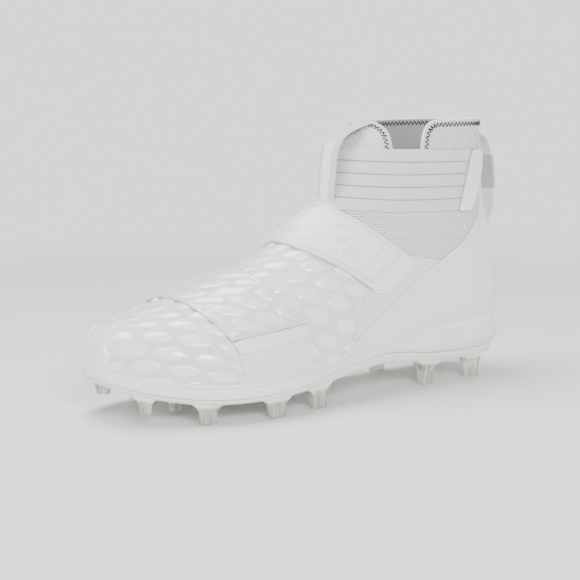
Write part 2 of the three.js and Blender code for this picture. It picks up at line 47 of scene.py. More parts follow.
# Lengths are in millimetres here, with x from the back of the midsole and z from the ground.
# They move into the row frame, in metres, when a mesh is made.
mm = 0.001
size = {
    "length": 314.0,
    "ball": 106.0,
    "heel": 76.0,
    "instep": 91.0,
    "shaft": 67.0,
    "toeSpring": 10.0,
    "heelRise": 19.0,
    "stud": 11.8,
    "rim": 3.6,
    "foam": 9.4,
    "wall": 2.6,
    "clearance": 0.3,
}


# A column of a table at the values t of its first column, on a smooth curve through its rows.
def columnAt(rows, column, t):
    keys = rows[:, 0]
    values = rows[:, column]
    t = np.asarray(t, float)
    last = len(keys) - 1
    i = np.clip(np.searchsorted(keys, t, side="right") - 1, 0, last - 1)
    before = np.maximum(np.arange(last + 1) - 1, 0)
    after = np.minimum(np.arange(last + 1) + 1, last)
    slopes = (values[after] - values[before]) / (keys[after] - keys[before])
    span = keys[i + 1] - keys[i]
    u = np.clip((t - keys[i]) / span, 0, 1)
    rise = values[i + 1] - values[i]
    startBend = span * slopes[i] - rise
    endBend = rise - span * slopes[i + 1]
    return values[i] + rise * u + u * (1 - u) * (startBend * (1 - u) + endBend * u)


def smooth(x, low, high):
    u = np.clip((np.asarray(x, float) - low) / (high - low), 0, 1)
    return u * u * (3 - 2 * u)


def lerp(a, b, u):
    return a + (b - a) * u


def unit(vectors):
    return vectors / (np.linalg.norm(vectors, axis=-1, keepdims=True) + 1e-12)


def bell(x, middle, width):
    return np.exp(-(((x - middle) / width) ** 2))


# The length run at each point of a line
def runAlong(line):
    return np.append(0, np.cumsum(np.linalg.norm(np.diff(line, axis=0), axis=1)))


def gridQuads(rows, columns):
    index = np.arange(rows * columns).reshape(rows, columns)
    corners = np.stack([index[:-1, :-1], index[:-1, 1:], index[1:, 1:], index[1:, :-1]], axis=-1)
    return corners.reshape(-1, 4)


# Faces between neighbouring rings of n points each
def ringFaces(rings, n, closed=False, turned=False):
    faces = []
    for i in range(rings if closed else rings - 1):
        a, b = i * n, (i + 1) % rings * n
        for k in range(n):
            m = (k + 1) % n
            faces.append([a + k, b + k, b + m, a + m] if turned else [a + k, a + m, b + m, b + k])
    return faces


# The sole's side view: share of the length, toe spring, heel rise, foam and plate rim
soleLine = np.array([
    [0.0, 0, 1.04, 2.22, 1.8],
    [0.08, 0, 1.0, 2.27, 1.8],
    [0.17, 0, 0.94, 2.21, 1.87],
    [0.25, 0, 0.86, 1.91, 2.0],
    [0.32, 0, 0.7, 1.29, 2.0],
    [0.39, 0, 0.54, 0.8, 2.07],
    [0.45, 0, 0.38, 0.73, 1.7],
    [0.51, 0, 0.24, 0.75, 1.55],
    [0.57, 0, 0.12, 0.79, 1.5],
    [0.64, 0, 0.03, 0.92, 1.2],
    [0.71, 0, 0, 1.0, 1.0],
    [0.78, 0, 0, 1.02, 1.0],
    [0.85, 0.12, 0, 1.03, 1.0],
    [0.92, 0.42, 0, 1.0, 1.0],
    [0.97, 0.74, 0, 0.92, 1.0],
    [1.0, 1.0, 0, 0.88, 1.0],
])
ballFooting = size["stud"] + size["rim"] + size["foam"]


def soleAt(column, x):
    return columnAt(soleLine, column, np.asarray(x, float) / size["length"])


def footing(x):
    return ballFooting + size["toeSpring"] * soleAt(1, x) + size["heelRise"] * soleAt(2, x)


def foamBottom(x):
    return footing(x) - size["foam"] * soleAt(3, x)


def plateBottom(x):
    return foamBottom(x) - size["rim"] * soleAt(4, x)


# A point of the side view from shares of the length, the instep and the shaft
def sidePoint(corner):
    along, rise, shaft = (*corner, 0)[:3]
    return [along * size["length"], ballFooting + rise * size["instep"] + shaft * size["shaft"]]


def sideOutline(corners):
    return np.array([sidePoint(corner) for corner in corners])


# Sections of the last: row, top (along, rise, shaft), low (along, rise, shaft), centre, ridge,
# half width at the ball and the heel, widest, crown and base
lastRows = np.array([
    [0, 0.998, 0.02, 0, 0.998, -0.02, 0, -0.23, -0.23, 0.02, 0, 0.5, 2, 2],
    [1, 0.998, 0.09, 0, 0.997, -0.08, 0, -0.23, -0.23, 0.19, 0, 0.42, 2.1, 2.4],
    [2, 0.991, 0.182, 0, 0.991, -0.1, 0, -0.226, -0.228, 0.36, 0, 0.36, 2.2, 2.8],
    [3, 0.967, 0.277, 0, 0.966, -0.1, 0, -0.19, -0.21, 0.53, 0, 0.32, 2.25, 3.2],
    [4, 0.905, 0.383, 0, 0.905, -0.095, 0, -0.13, -0.18, 0.735, 0, 0.3, 2.3, 3.6],
    [5, 0.83, 0.495, 0, 0.83, -0.093, 0, -0.06, -0.15, 0.89, 0, 0.28, 2.25, 3.8],
    [6, 0.745, 0.601, 0, 0.742, -0.092, 0, 0, -0.12, 0.96, 0, 0.26, 2.15, 3.8],
    [7, 0.66, 0.692, 0, 0.65, -0.09, 0, 0.038, -0.1, 0.93, 0, 0.26, 2.05, 3.8],
    [8, 0.588, 0.796, 0, 0.552, -0.088, 0, 0.075, -0.085, 0.81, 0, 0.28, 2.0, 3.8],
    [9, 0.533, 0.918, 0, 0.438, -0.087, 0, 0.075, -0.066, 0.4, 0.48, 0.31, 2.0, 3.5],
    [10, 0.489, 1, 0.0, 0.3, -0.091, 0, 0.047, -0.047, 0.1, 0.86, 0.36, 2.0, 3.2],
    [11, 0.458, 1, 0.11, 0.15, -0.1, 0, 0.02, -0.038, 0, 1, 0.4, 2.05, 3],
    [12, 0.438, 1, 0.232, 0.031, -0.07, 0, 0.01, -0.028, 0, 1.03, 0.43, 2.1, 2.7],
    [13, 0.426, 1, 0.376, 0.006, 0.195, 0, 0, -0.02, 0, 1.03, 0.46, 2.15, 2.4],
    [14, 0.415, 1, 0.52, 0.025, 0.57, 0, 0, -0.01, 0, 1.0, 0.48, 2.2, 2.3],
    [15, 0.396, 1, 0.666, 0.053, 0.965, 0, 0, 0, 0, 0.975, 0.5, 2.25, 2.2],
    [16, 0.368, 1, 0.785, 0.0625, 1, 0.44, 0, 0, 0, 0.985, 0.5, 2.25, 2.2],
    [17, 0.333, 1, 0.9, 0.062, 1, 0.89, 0, 0, 0, 1, 0.5, 2.25, 2.2],
])


# Points of the last at stations s and angles from the ridge over the outer side to the bottom
def lastPoint(s, angle):
    s = np.asarray(s, float)
    angle = np.asarray(angle, float)
    column = [columnAt(lastRows, i, s) for i in range(1, 14)]
    topX = column[0] * size["length"]
    topZ = footing(topX) + column[1] * size["instep"] + column[2] * size["shaft"]
    lowX = column[3] * size["length"]
    lowZ = footing(lowX) + column[4] * size["instep"] + column[5] * size["shaft"]
    up = np.cos(angle)
    side = np.sin(angle)
    power = 2 / np.where(up > 0, column[11], column[12])
    widest = column[10]
    reach = np.where(up > 0, 1 - widest, widest)
    q = widest + reach * np.sign(up) * np.abs(up) ** power
    half = (column[8] * size["ball"] + column[9] * size["heel"]) / 2
    middle = lerp(column[6], column[7], q) * size["ball"] / 2
    y = middle + half * np.sign(side) * np.abs(side) ** power
    return np.stack([lerp(lowX, topX, q), y, lerp(lowZ, topZ, q)], axis=-1)


# Where the last meets its footing on either side of the stations, as angles
def footAngle(s, side):
    s = np.asarray(s, float)
    above = np.full(s.shape, 0.5 * math.pi)
    below = np.full(s.shape, math.pi)
    for _ in range(26):
        angle = (above + below) / 2
        point = lastPoint(s, side * angle)
        high = point[..., 2] > footing(point[..., 0])
        above = np.where(high, angle, above)
        below = np.where(high, below, angle)
    return below


heelRow = 12.0
while columnAt(lastRows, 5, heelRow) < 0:
    heelRow += 0.001


# A grid over the last with even steps round each section: shares run from -1 at the inner footing
# over 0 at the ridge to 1 at the outer footing, or to the back of the heel above it.
def lastGrid(stations, shares):
    w = np.linspace(-1, 1, 900)
    dense = math.pi / 2 * (1 + np.sign(w) * np.abs(w) ** 1.8)
    points = np.zeros((len(stations), len(shares), 3))
    across = np.zeros((len(stations), len(shares)))
    limits = {side: footAngle(stations, side) for side in (1, -1)}
    for row, s in enumerate(stations):
        for side in (1, -1):
            limit = limits[side][row] if s < heelRow else math.pi
            angles = np.append(dense[dense < limit], limit)
            line = lastPoint(np.full(len(angles), s), side * angles)
            run = runAlong(line)
            wanted = shares >= 0 if side > 0 else shares < 0
            here = np.abs(shares[wanted]) * run[-1]
            at = np.interp(here, run, angles)
            points[row, wanted] = lastPoint(np.full(len(at), s), side * at)
            across[row, wanted] = side * here
    alongStep = np.gradient(points, axis=0)
    aroundStep = np.gradient(points, axis=1)
    normals = unit(np.cross(aroundStep, alongStep))
    if shares[0] == -1 and shares[-1] == 1:
        closed = np.asarray(stations) >= heelRow
        normals[closed, 0] = normals[closed, -1] = unit(normals[closed, 0] + normals[closed, -1])
    steps = np.linalg.norm(np.diff(points, axis=0), axis=2)
    along = np.vstack([np.zeros(len(shares)), np.cumsum(steps, axis=0)])
    # Along starts at the toe also where a grid begins further back.
    along += (1 - columnAt(lastRows, 1, stations[0])) * size["length"]
    return {"points": points, "normals": normals, "along": along, "across": across}


# Distance into an outline of the side view, negative outside it
def depthInside(places, outline):
    inside = np.zeros(len(places), bool)
    nearest = np.full(len(places), 1e9)
    for a, b in zip(outline, np.roll(outline, -1, axis=0)):
        edge = b - a
        away = places - a
        u = np.clip(away @ edge / (edge @ edge), 0, 1)
        nearest = np.minimum(nearest, np.linalg.norm(away - u[:, None] * edge, axis=1))
        crosses = (a[1] > places[:, 1]) != (b[1] > places[:, 1])
        drop = edge[1] if edge[1] else 1e-9
        inside ^= crosses & (places[:, 0] < a[0] + (places[:, 1] - a[1]) / drop * edge[0])
    return np.where(inside, nearest, -nearest)


def sideDepth(points, outline):
    return depthInside(points.reshape(-1, 3)[:, [0, 2]], outline).reshape(points.shape[:-1])


def rounded(outline, times=2, share=0.25):
    for _ in range(times):
        following = np.roll(outline, -1, axis=0)
        cut = [outline + (following - outline) * share, following - (following - outline) * share]
        outline = np.stack(cut, axis=1).reshape(-1, 2)
    return outline


# Keeps the part of a grid where depth is positive, with its edge moved onto the line where depth is 0.
def cutGrid(grid, depth, fields=()):
    names = ["points", "normals", "along", "across", *fields]
    data = {name: np.array(grid[name], float) for name in names}
    inside = depth >= 0
    nearest = np.full(depth.shape, 2.0)
    fromRow, fromColumn = np.indices(depth.shape)
    toRow, toColumn = np.indices(depth.shape)
    rows, columns = depth.shape
    for down, right in ((0, 1), (0, -1), (1, 0), (-1, 0)):
        otherRow = np.clip(fromRow + down, 0, rows - 1)
        otherColumn = np.clip(fromColumn + right, 0, columns - 1)
        other = depth[otherRow, otherColumn]
        reachable = ~inside & (other >= 0)
        share = np.where(reachable, depth / np.minimum(depth - other, -1e-9), 2.0)
        closer = share < nearest
        nearest[closer] = share[closer]
        toRow[closer] = otherRow[closer]
        toColumn[closer] = otherColumn[closer]
    moved = nearest <= 1
    for name in names:
        values = data[name]
        share = nearest[moved]
        if values.ndim == 3:
            share = share[:, None]
        target = np.array(grid[name], float)[toRow[moved], toColumn[moved]]
        values[moved] = values[moved] + (target - values[moved]) * share
    kept = inside | moved
    corners = gridQuads(rows, columns)
    flags = kept.ravel()[corners]
    quads = corners[flags.all(axis=1)]
    three = flags.sum(axis=1) == 3
    triangles = np.array([c[f] for c, f in zip(corners[three], flags[three])]).reshape(-1, 3)
    used = np.unique(np.concatenate([quads.ravel(), triangles.ravel()]).astype(int))
    renumber = np.full(rows * columns, -1)
    renumber[used] = np.arange(len(used))
    faces = [list(f) for f in renumber[quads]] + [list(f) for f in renumber[triangles.astype(int)]]
    sheet = {name: data[name].reshape(rows * columns, -1)[used] for name in names}
    sheet["faces"] = faces
    return sheet


# Ordered loops of the vertices along a sheet's open edges
def edgeLoops(faces, points):
    used = {}
    for face in faces:
        for a, b in zip(face, face[1:] + face[:1]):
            used[(a, b)] = True
    following = {}
    for a, b in used:
        if (b, a) not in used:
            following.setdefault(a, []).append(b)
    loops = []
    while following:
        start = next(iter(following))
        loop = [start]
        here = start
        while True:
            nexts = following.get(here)
            if not nexts:
                break
            after = nexts.pop()
            if not nexts:
                del following[here]
            here = after
            if here == start:
                break
            loop.append(here)
        if len(loop) > 8:
            loops.append(loop)
    return loops


origin = np.zeros(3)


def toRow(points):
    return (np.asarray(points, float).reshape(-1, 3) + origin) * mm


def makeMesh(name, points, faces, uv=None, fields=None):
    mesh = bpy.data.meshes.new(name)
    mesh.from_pydata([tuple(p) for p in toRow(points)], [], [tuple(f) for f in faces])
    mesh.validate()
    if uv is not None:
        layer = mesh.uv_layers.new(name="UVMap")
        corner = np.zeros(len(mesh.loops), int)
        mesh.loops.foreach_get("vertex_index", corner)
        layer.data.foreach_set("uv", np.asarray(uv, float)[corner].ravel())
    for key, values in (fields or {}).items():
        attribute = mesh.attributes.new(key, "FLOAT", "POINT")
        attribute.data.foreach_set("value", np.asarray(values, float).ravel())
    mesh.shade_smooth()
    made = bpy.data.objects.new(name, mesh)
    bpy.context.scene.collection.objects.link(made)
    return made


def finishPiece(made, slot, material, *nodes):
    made.data.materials.clear()
    made.data.materials.append(material)
    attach(made, "root")
    if nodes:
        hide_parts(*nodes)


# Turns a cut sheet into a mesh with a rolled edge. The rim says how high its face stands over the
# last, how far the roll reaches sideways and how far it goes down.
def sheetPiece(name, sheet, rim, names=()):
    lift, edge, drop = rim
    points = sheet["points"] + sheet["normals"] * lift
    normals = sheet["normals"]
    uv = np.concatenate([sheet["along"], sheet["across"]], axis=1) * mm
    faces = [list(face) for face in sheet["faces"]]
    sample = faces[len(faces) // 2]
    a, b, c = points[sample[0]], points[sample[1]], points[sample[2]]
    if np.dot(np.cross(b - a, c - a), normals[sample[0]]) < 0:
        faces = [face[::-1] for face in faces]
    fields = {key: list(np.ravel(sheet[key])) for key in names}
    # The "wall" field carries painted shade: 0 on the face, rising down the rows of the rolled edge, where
    # shaders paint it darker.
    fields["wall"] = [0.0] * len(points)
    allPoints = [points]
    allUv = [uv]
    count = len(points)
    _, first, back = np.unique(np.round(points, 3), axis=0, return_index=True, return_inverse=True)
    joinedAt = first[back.ravel()]
    welded = [[int(joinedAt[i]) for i in face] for face in faces]
    welded = [[i for k, i in enumerate(face) if i != face[k - 1]] for face in welded]
    loops = edgeLoops([face for face in welded if len(face) > 2], points)
    for loop in loops:
        here = points[loop]
        n = normals[loop]
        tangent = np.roll(here, -1, axis=0) - np.roll(here, 1, axis=0)
        tangent = (tangent + np.roll(tangent, 1, axis=0) + np.roll(tangent, -1, axis=0)) / 3
        out = unit(np.cross(tangent, n))
        previous = loop
        # Each row of the rolled edge: how far sideways, how far down, and its share of painted shade
        for sideways, down, paintedShade in ((0.55, 0.18, 0.25), (0.9, 0.5, 0.8), (1.0, 1.0, 1.0)):
            row = here + out * edge * sideways - n * drop * down
            allPoints.append(row)
            allUv.append(uv[loop])
            for key in names:
                fields[key].extend(np.ravel(sheet[key])[loop])
            fields["wall"].extend([paintedShade] * len(loop))
            current = list(range(count, count + len(loop)))
            count += len(loop)
            for i in range(len(loop)):
                j = (i + 1) % len(loop)
                faces.append([previous[j], previous[i], current[i], current[j]])
            previous = current
    made = makeMesh(name, np.concatenate(allPoints), faces, np.concatenate(allUv), fields)
    return made, [(points[loop], normals[loop]) for loop in loops]


# A piece cut out of a grid where depth is positive. It gives back its open edges.
def overlayPiece(name, grid, depth, rim, slot, material, nodes=(), fields=()):
    made, loops = sheetPiece(name, cutGrid(grid, depth, fields), rim, fields)
    finishPiece(made, slot, material, *nodes)
    return loops


# A tube through points with a given frame: sides are directions across it and profile its section.
def tube(points, rights, ups, profile, closed):
    rings = []
    for p, r, u in zip(points, rights, ups):
        rings.append([p + r * a + u * b for a, b in profile])
    rings = np.array(rings)
    total, count = rings.shape[:2]
    faces = ringFaces(total, count, closed)
    if not closed:
        faces.append(list(range(count))[::-1])
        faces.append([(total - 1) * count + k for k in range(count)])
    return rings.reshape(-1, 3), faces


def circleProfile(width, height, count=8):
    angles = np.arange(count) / count * 2 * math.pi
    return [(math.cos(a) * width / 2, math.sin(a) * height / 2) for a in angles]


def resample(line, step, closed):
    line = np.asarray(line, float)
    if closed:
        line = np.vstack([line, line[:1]])
    run = runAlong(line[:, :3])
    count = max(int(round(run[-1] / step)), 3)
    at = np.linspace(0, run[-1], count + (0 if closed else 1), endpoint=not closed)
    return np.stack([np.interp(at, run, line[:, k]) for k in range(line.shape[1])], axis=1), run[-1]


def smoothedLoop(line, times, closed=True):
    for _ in range(times):
        before = np.roll(line, 1, axis=0)
        after = np.roll(line, -1, axis=0)
        softer = (before + 2 * line + after) / 4
        if not closed:
            softer[0] = line[0]
            softer[-1] = line[-1]
        line = softer
    return line


def tinted(colour, share):
    return tuple(c * share for c in colour)


class Shader:
    def __init__(self, name, colour, roughness, **values):
        self.material = bpy.data.materials.new(name)
        self.material.use_nodes = True
        self.tree = self.material.node_tree
        self.surface = self.tree.nodes["Principled BSDF"]
        self.colour = (*colour, 1)
        self.surface.inputs["Base Color"].default_value = self.colour
        self.surface.inputs["Roughness"].default_value = roughness
        for key, value in values.items():
            self.surface.inputs[key.replace("_", " ")].default_value = value
        self.material.diffuse_color = self.colour

    def link(self, value, socket):
        if isinstance(value, bpy.types.NodeSocket):
            self.tree.links.new(value, socket)
        else:
            socket.default_value = value

    def node(self, kind, **settings):
        made = self.tree.nodes.new(kind)
        for key, value in settings.items():
            setattr(made, key, value)
        return made

    def math(self, operation, a, b=0.0, clamp=False):
        made = self.node("ShaderNodeMath", operation=operation, use_clamp=clamp)
        self.link(a, made.inputs[0])
        self.link(b, made.inputs[1])
        return made.outputs[0]

    def mapped(self, value, low, high, toLow=0.0, toHigh=1.0):
        made = self.node("ShaderNodeMapRange", interpolation_type="SMOOTHSTEP")
        for i, v in enumerate((value, low, high, toLow, toHigh)):
            self.link(v, made.inputs[i])
        return made.outputs[0]

    def mix(self, share, a, b):
        made = self.node("ShaderNodeMix", data_type="RGBA")
        self.link(share, made.inputs[0])
        self.link((*a, 1) if isinstance(a, tuple) and len(a) == 3 else a, made.inputs[6])
        self.link((*b, 1) if isinstance(b, tuple) and len(b) == 3 else b, made.inputs[7])
        return made.outputs[2]

    # The UV coordinates in millimetres, turned by an angle in degrees
    def uv(self, turn=0.0):
        source = self.node("ShaderNodeUVMap", uv_map="UVMap")
        place = self.node("ShaderNodeMapping")
        self.tree.links.new(source.outputs[0], place.inputs[0])
        place.inputs["Scale"].default_value = (1 / mm, 1 / mm, 1)
        place.inputs["Rotation"].default_value = (0, 0, math.radians(turn))
        return self.separated(place.outputs[0])[:2]

    # The place in the row frame, in metres
    def spot(self):
        return self.node("ShaderNodeTexCoord").outputs["Object"]

    def separated(self, vector):
        made = self.node("ShaderNodeSeparateXYZ")
        self.link(vector, made.inputs[0])
        return tuple(made.outputs)

    def noise(self, perMillimetre, detail=2.0):
        made = self.node("ShaderNodeTexNoise")
        self.link(self.spot(), made.inputs["Vector"])
        made.inputs["Scale"].default_value = perMillimetre / mm
        made.inputs["Detail"].default_value = detail
        return made.outputs[0]

    # A colour that drifts softly to a darker share of itself
    def drift(self, colour, share, perMillimetre):
        drifting = self.mapped(self.noise(perMillimetre, 3), 0.35, 0.65)
        return self.mix(drifting, colour, tinted(colour, share))

    def field(self, name):
        made = self.node("ShaderNodeAttribute", attribute_name=name)
        return made.outputs["Fac"]

    def wave(self, coordinate, pitch):
        turned = self.math("MULTIPLY", coordinate, 2 * math.pi / pitch)
        return self.math("SINE", turned)

    def bump(self, height, millimetres):
        made = self.node("ShaderNodeBump")
        made.inputs["Strength"].default_value = 1.0
        made.inputs["Distance"].default_value = millimetres * mm
        self.tree.links.new(height, made.inputs["Height"])
        self.tree.links.new(made.outputs[0], self.surface.inputs["Normal"])

    def set(self, socket, value):
        self.link(value, self.surface.inputs[socket])


# Painted shade for the rolled edge of a panel: darker and warmer than its face, standing for the contact
# shadow where it meets what lies beneath.
def paintedEdgeShade(colour):
    return tuple(c * share for c, share in zip(colour, (0.62, 0.58, 0.56)))


# Synthetic leather: faint pores and colour drift, softer shine where it is rubbed
def leather(name, colour, roughness=0.42, grain=0.05):
    shade = Shader(name, colour, roughness, Coat_Weight=0.08, Coat_Roughness=0.35)
    face = shade.drift(colour, 0.95, 0.02)
    # The rolled edge takes painted contact shade.
    shade.set("Base Color", shade.mix(shade.field("wall"), face, paintedEdgeShade(colour)))
    rubbed = shade.noise(0.05, 4)
    shade.set("Roughness", shade.mapped(rubbed, 0.3, 0.7, roughness - 0.07, roughness + 0.1))
    shade.bump(shade.noise(1.4, 4), grain)
    return shade.material


def thread(name, colour):
    shade = Shader(name, colour, 0.75, Sheen_Weight=0.3)
    shade.bump(shade.noise(3, 2), 0.08)
    return shade.material


# Knitted mesh with small holes in staggered rows
def meshCloth(name, colour, holeColour, pitch=1.5, depth=0.25, turn=28.0, holes=0.6):
    shade = Shader(name, colour, 0.85, Sheen_Weight=0.25, Sheen_Roughness=0.5)
    u, v = shade.uv(turn)
    both = shade.math("MULTIPLY", shade.wave(u, pitch * 2), shade.wave(v, pitch * 2))
    hole = shade.mapped(shade.math("ABSOLUTE", both), holes - 0.25, holes + 0.25)
    drift = shade.mapped(shade.noise(0.03, 3), 0.35, 0.65, 0.85, 1.0)
    shade.set("Base Color", shade.mix(shade.math("MULTIPLY", hole, drift), colour, holeColour))
    shade.bump(shade.math("MULTIPLY", hole, -1.0), depth)
    return shade.material


def colour8(red, green, blue):
    return tuple(((c / 255 + 0.055) / 1.055) ** 2.4 for c in (red, green, blue))


# The foot loop, from the toe along the outer side and back along the inner one
def footLoop(count):
    nearHeel = [s for s in (11.5, 11.8, 12, 12.1) if s < heelRow - 0.06]
    stations = [0.3, 0.7, 1, 1.5, 2, 2.5, 3, 3.5, 4, 5, 6, 7, 8, 9, 10, 11, *nearHeel]
    outer = [lastPoint(s, footAngle(s, 1)) for s in stations]
    inner = [lastPoint(s, -footAngle(s, -1)) for s in stations][::-1]
    knots = np.array([*outer, lastPoint(heelRow, math.pi), *inner])
    total = len(knots)
    fine = []
    for i in range(total):
        p0, p1, p2, p3 = (knots[(i + k) % total] for k in (-1, 0, 1, 2))
        t01, t12, t23 = (max(np.linalg.norm(b - a) ** 0.5, 1e-4) for a, b in ((p0, p1), (p1, p2), (p2, p3)))
        m1 = (p1 - p0) / t01 - (p2 - p0) / (t01 + t12) + (p2 - p1) / t12
        m2 = (p2 - p1) / t12 - (p3 - p1) / (t12 + t23) + (p3 - p2) / t23
        m1, m2 = m1 * t12, m2 * t12
        for u in np.linspace(0, 1, 24, endpoint=False):
            fine.append(
                (2 * u**3 - 3 * u**2 + 1) * p1
                + (u**3 - 2 * u**2 + u) * m1
                + (-2 * u**3 + 3 * u**2) * p2
                + (u**3 - u**2) * m2
            )
    around = runAlong(np.array(fine + fine[:1]))[-1]
    line, _ = resample(np.array(fine), around / count, True)
    return line[:count]


footCount = 300
foot = footLoop(footCount)
footOut = np.roll(foot, -1, axis=0) - np.roll(foot, 1, axis=0)
footOut = unit(np.stack([footOut[:, 1], -footOut[:, 0], np.zeros(footCount)], axis=1))
footRun = runAlong(foot)
foamMargin = 2.2
ledgeDepth = 1.7
foamTuck = 2.6


def heelShare(x):
    return 1 - smooth(np.asarray(x) / size["length"], 0.12, 0.48)


def toeMargin(x):
    return 1 - 0.65 * smooth(np.asarray(x) / size["length"], 0.84, 0.99)


# A body round the foot loop: each level gives offsets outwards and heights at the loop's points.
def soleBody(levels):
    rows = []
    for offset, height in levels:
        row = foot + footOut * np.asarray(offset(foot[:, 0]))[:, None]
        row[:, 2] = height(foot[:, 0])
        rows.append(row)
    points = np.concatenate(rows)
    n = footCount
    faces = ringFaces(len(rows), n, turned=True)
    ladder = [[i, i + 1, n - i - 1, (n - i) % n] for i in range(1, n // 2 - 1)]
    for level in (0, len(rows) - 1):
        a = level * n
        strip = [[a + 0, a + 1, a + n - 1], [a + n // 2 - 1, a + n // 2, a + n // 2 + 1]]
        strip += [[a + k for k in quad] for quad in ladder]
        faces += strip if level == 0 else [face[::-1] for face in strip]
    uv = np.concatenate([np.stack([footRun, row[:, 2]], axis=1) for row in rows]) * mm
    return points, faces, uv


def foamReach(x, out, ledge, tuck):
    heel = heelShare(x)
    return foamMargin * out * toeMargin(x) + ledgeDepth * ledge * heel - foamTuck * tuck * (1 + heel)


def levelsOf(side, top, bottom):
    made = []
    for depth, out, ledge, tuck in side:
        made.append((
            lambda x, out=out, ledge=ledge, tuck=tuck: foamReach(x, out, ledge, tuck),
            lambda x, depth=depth: lerp(top(x), bottom(x), depth),
        ))
    return made


# Levels down the side of the foam: depth, reach outwards, heel ledge and tuck
foamSide = [
    (0.0, 0.35, 0, 0), (0.025, 0.75, 0, 0), (0.07, 1.0, 0, 0), (0.14, 1.1, 0, 0), (0.205, 1.12, 0, 0),
    (0.225, 1.02, 0, 0), (0.235, 0.72, 0, 0), (0.25, 0.66, 0, 0), (0.265, 0.72, 0, 0),
    (0.275, 1.05, 0.1, 0), (0.295, 1.18, 0.2, 0), (0.35, 1.26, 0.28, 0), (0.42, 1.3, 0.36, 0),
    (0.435, 1.28, 0.5, 0), (0.445, 1.28, 0.95, 0), (0.46, 1.3, 1.2, 0), (0.5, 1.3, 1.32, 0),
    (0.57, 1.3, 1.4, 0.08), (0.588, 1.28, 1.45, 0.1), (0.6, 1.26, 1.85, 0.1), (0.615, 1.25, 2.1, 0.1),
    (0.66, 1.2, 2.15, 0.12), (0.72, 1.12, 1.9, 0.14), (0.78, 1.05, 1.6, 0.15), (0.85, 1.0, 1.25, 0.18),
    (0.92, 0.95, 0.9, 0.2), (0.97, 0.86, 0.72, 0.26), (0.99, 0.76, 0.63, 0.32), (1.0, 0.66, 0.6, 0.38),
]
foamPoints, foamFaces, foamUv = soleBody(levelsOf(foamSide, footing, foamBottom))

# The row frame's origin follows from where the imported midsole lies.
soleLow, soleHigh = (np.array(corner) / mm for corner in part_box("midsole"))
origin = np.array([
    (soleLow[0] + soleHigh[0]) / 2 - (foamPoints[:, 0].min() + foamPoints[:, 0].max()) / 2,
    (soleLow[1] + soleHigh[1]) / 2 - (foamPoints[:, 1].min() + foamPoints[:, 1].max()) / 2,
    0.0,
])
print("foot loop ready, origin", np.round(origin, 2))

# Camera at the photo's angle
camera = {"turn": 35.0, "pitch": 8.08, "place": (624.3, 643.4, 182.0), "lens": 74.36}
lensData = bpy.data.cameras.new("camera")
lensData.lens = camera["lens"]
lensData.sensor_width = 36.0
lensData.clip_end = 50
viewer = bpy.data.objects.new("camera", lensData)
bpy.context.scene.collection.objects.link(viewer)
turn = math.radians(camera["turn"])
pitch = math.radians(camera["pitch"])
ahead = Vector((-math.sin(turn) * math.cos(pitch), -math.cos(turn) * math.cos(pitch), -math.sin(pitch)))
viewer.location = Vector(tuple(np.array(camera["place"]) + origin)) * mm
viewer.rotation_euler = ahead.to_track_quat("-Z", "Y").to_euler()
bpy.context.scene.camera = viewer

# Floor and backdrop
studio = {"far": (0.95, 0.95, 0.935), "light": 1.75, "sky": 0.35, "fade": (0.35, 1.15)}
stageShade = Shader("stage_grey", (0.8, 0.8, 0.79), 0.6, Specular_IOR_Level=0.2)
floorSize = 12.0
floorMesh = bpy.data.meshes.new("floor")
floorMesh.from_pydata(
    [(floorSize * a, floorSize * b, 0) for a, b in ((-1, -1), (1, -1), (1, 1), (-1, 1))],
    [],
    [(0, 1, 2, 3)],
)
floorObject = bpy.data.objects.new("floor", floorMesh)
floorMesh.materials.append(stageShade.material)
# Far off, the floor passes into the background's own brightness, so no horizon shows.
farLight = stageShade.node("ShaderNodeEmission")
farLight.inputs[0].default_value = (*studio["far"], 1)
farLight.inputs[1].default_value = studio["light"]
distance = stageShade.node("ShaderNodeVectorMath", operation="LENGTH")
stageShade.link(stageShade.spot(), distance.inputs[0])
fade = stageShade.mapped(distance.outputs["Value"], *studio["fade"])
blend = stageShade.node("ShaderNodeMixShader")
for i, socket in enumerate((fade, stageShade.surface.outputs[0], farLight.outputs[0])):
    stageShade.link(socket, blend.inputs[i])
output = next(node for node in stageShade.tree.nodes if node.type == "OUTPUT_MATERIAL")
stageShade.tree.links.new(blend.outputs[0], output.inputs[0])
bpy.context.scene.collection.objects.link(floorObject)

world = bpy.data.worlds.new("studio")
world.use_nodes = True
world.node_tree.nodes["Background"].inputs[0].default_value = (*studio["far"], 1)
# Brightest round the horizon, so that the lamps above do the shading
skyPlace = world.node_tree.nodes.new("ShaderNodeTexCoord")
skyParts = world.node_tree.nodes.new("ShaderNodeSeparateXYZ")
skyShare = world.node_tree.nodes.new("ShaderNodeMapRange")
skyShare.interpolation_type = "SMOOTHSTEP"
skyRange = {"From Min": 0.12, "From Max": 0.45, "To Min": studio["light"], "To Max": studio["sky"]}
for key, value in skyRange.items():
    skyShare.inputs[key].default_value = value
world.node_tree.links.new(skyPlace.outputs["Generated"], skyParts.inputs[0])
world.node_tree.links.new(skyParts.outputs[2], skyShare.inputs["Value"])
world.node_tree.links.new(skyShare.outputs[0], world.node_tree.nodes["Background"].inputs[1])
bpy.context.scene.world = world


def softbox(name, place, target, width, height, power):
    data = bpy.data.lights.new(name, "AREA")
    data.shape = "RECTANGLE"
    data.size = width
    data.size_y = height
    data.energy = power
    made = bpy.data.objects.new(name, data)
    made.location = place
    made.rotation_euler = (Vector(target) - Vector(place)).to_track_quat("-Z", "Y").to_euler()
    bpy.context.scene.collection.objects.link(made)


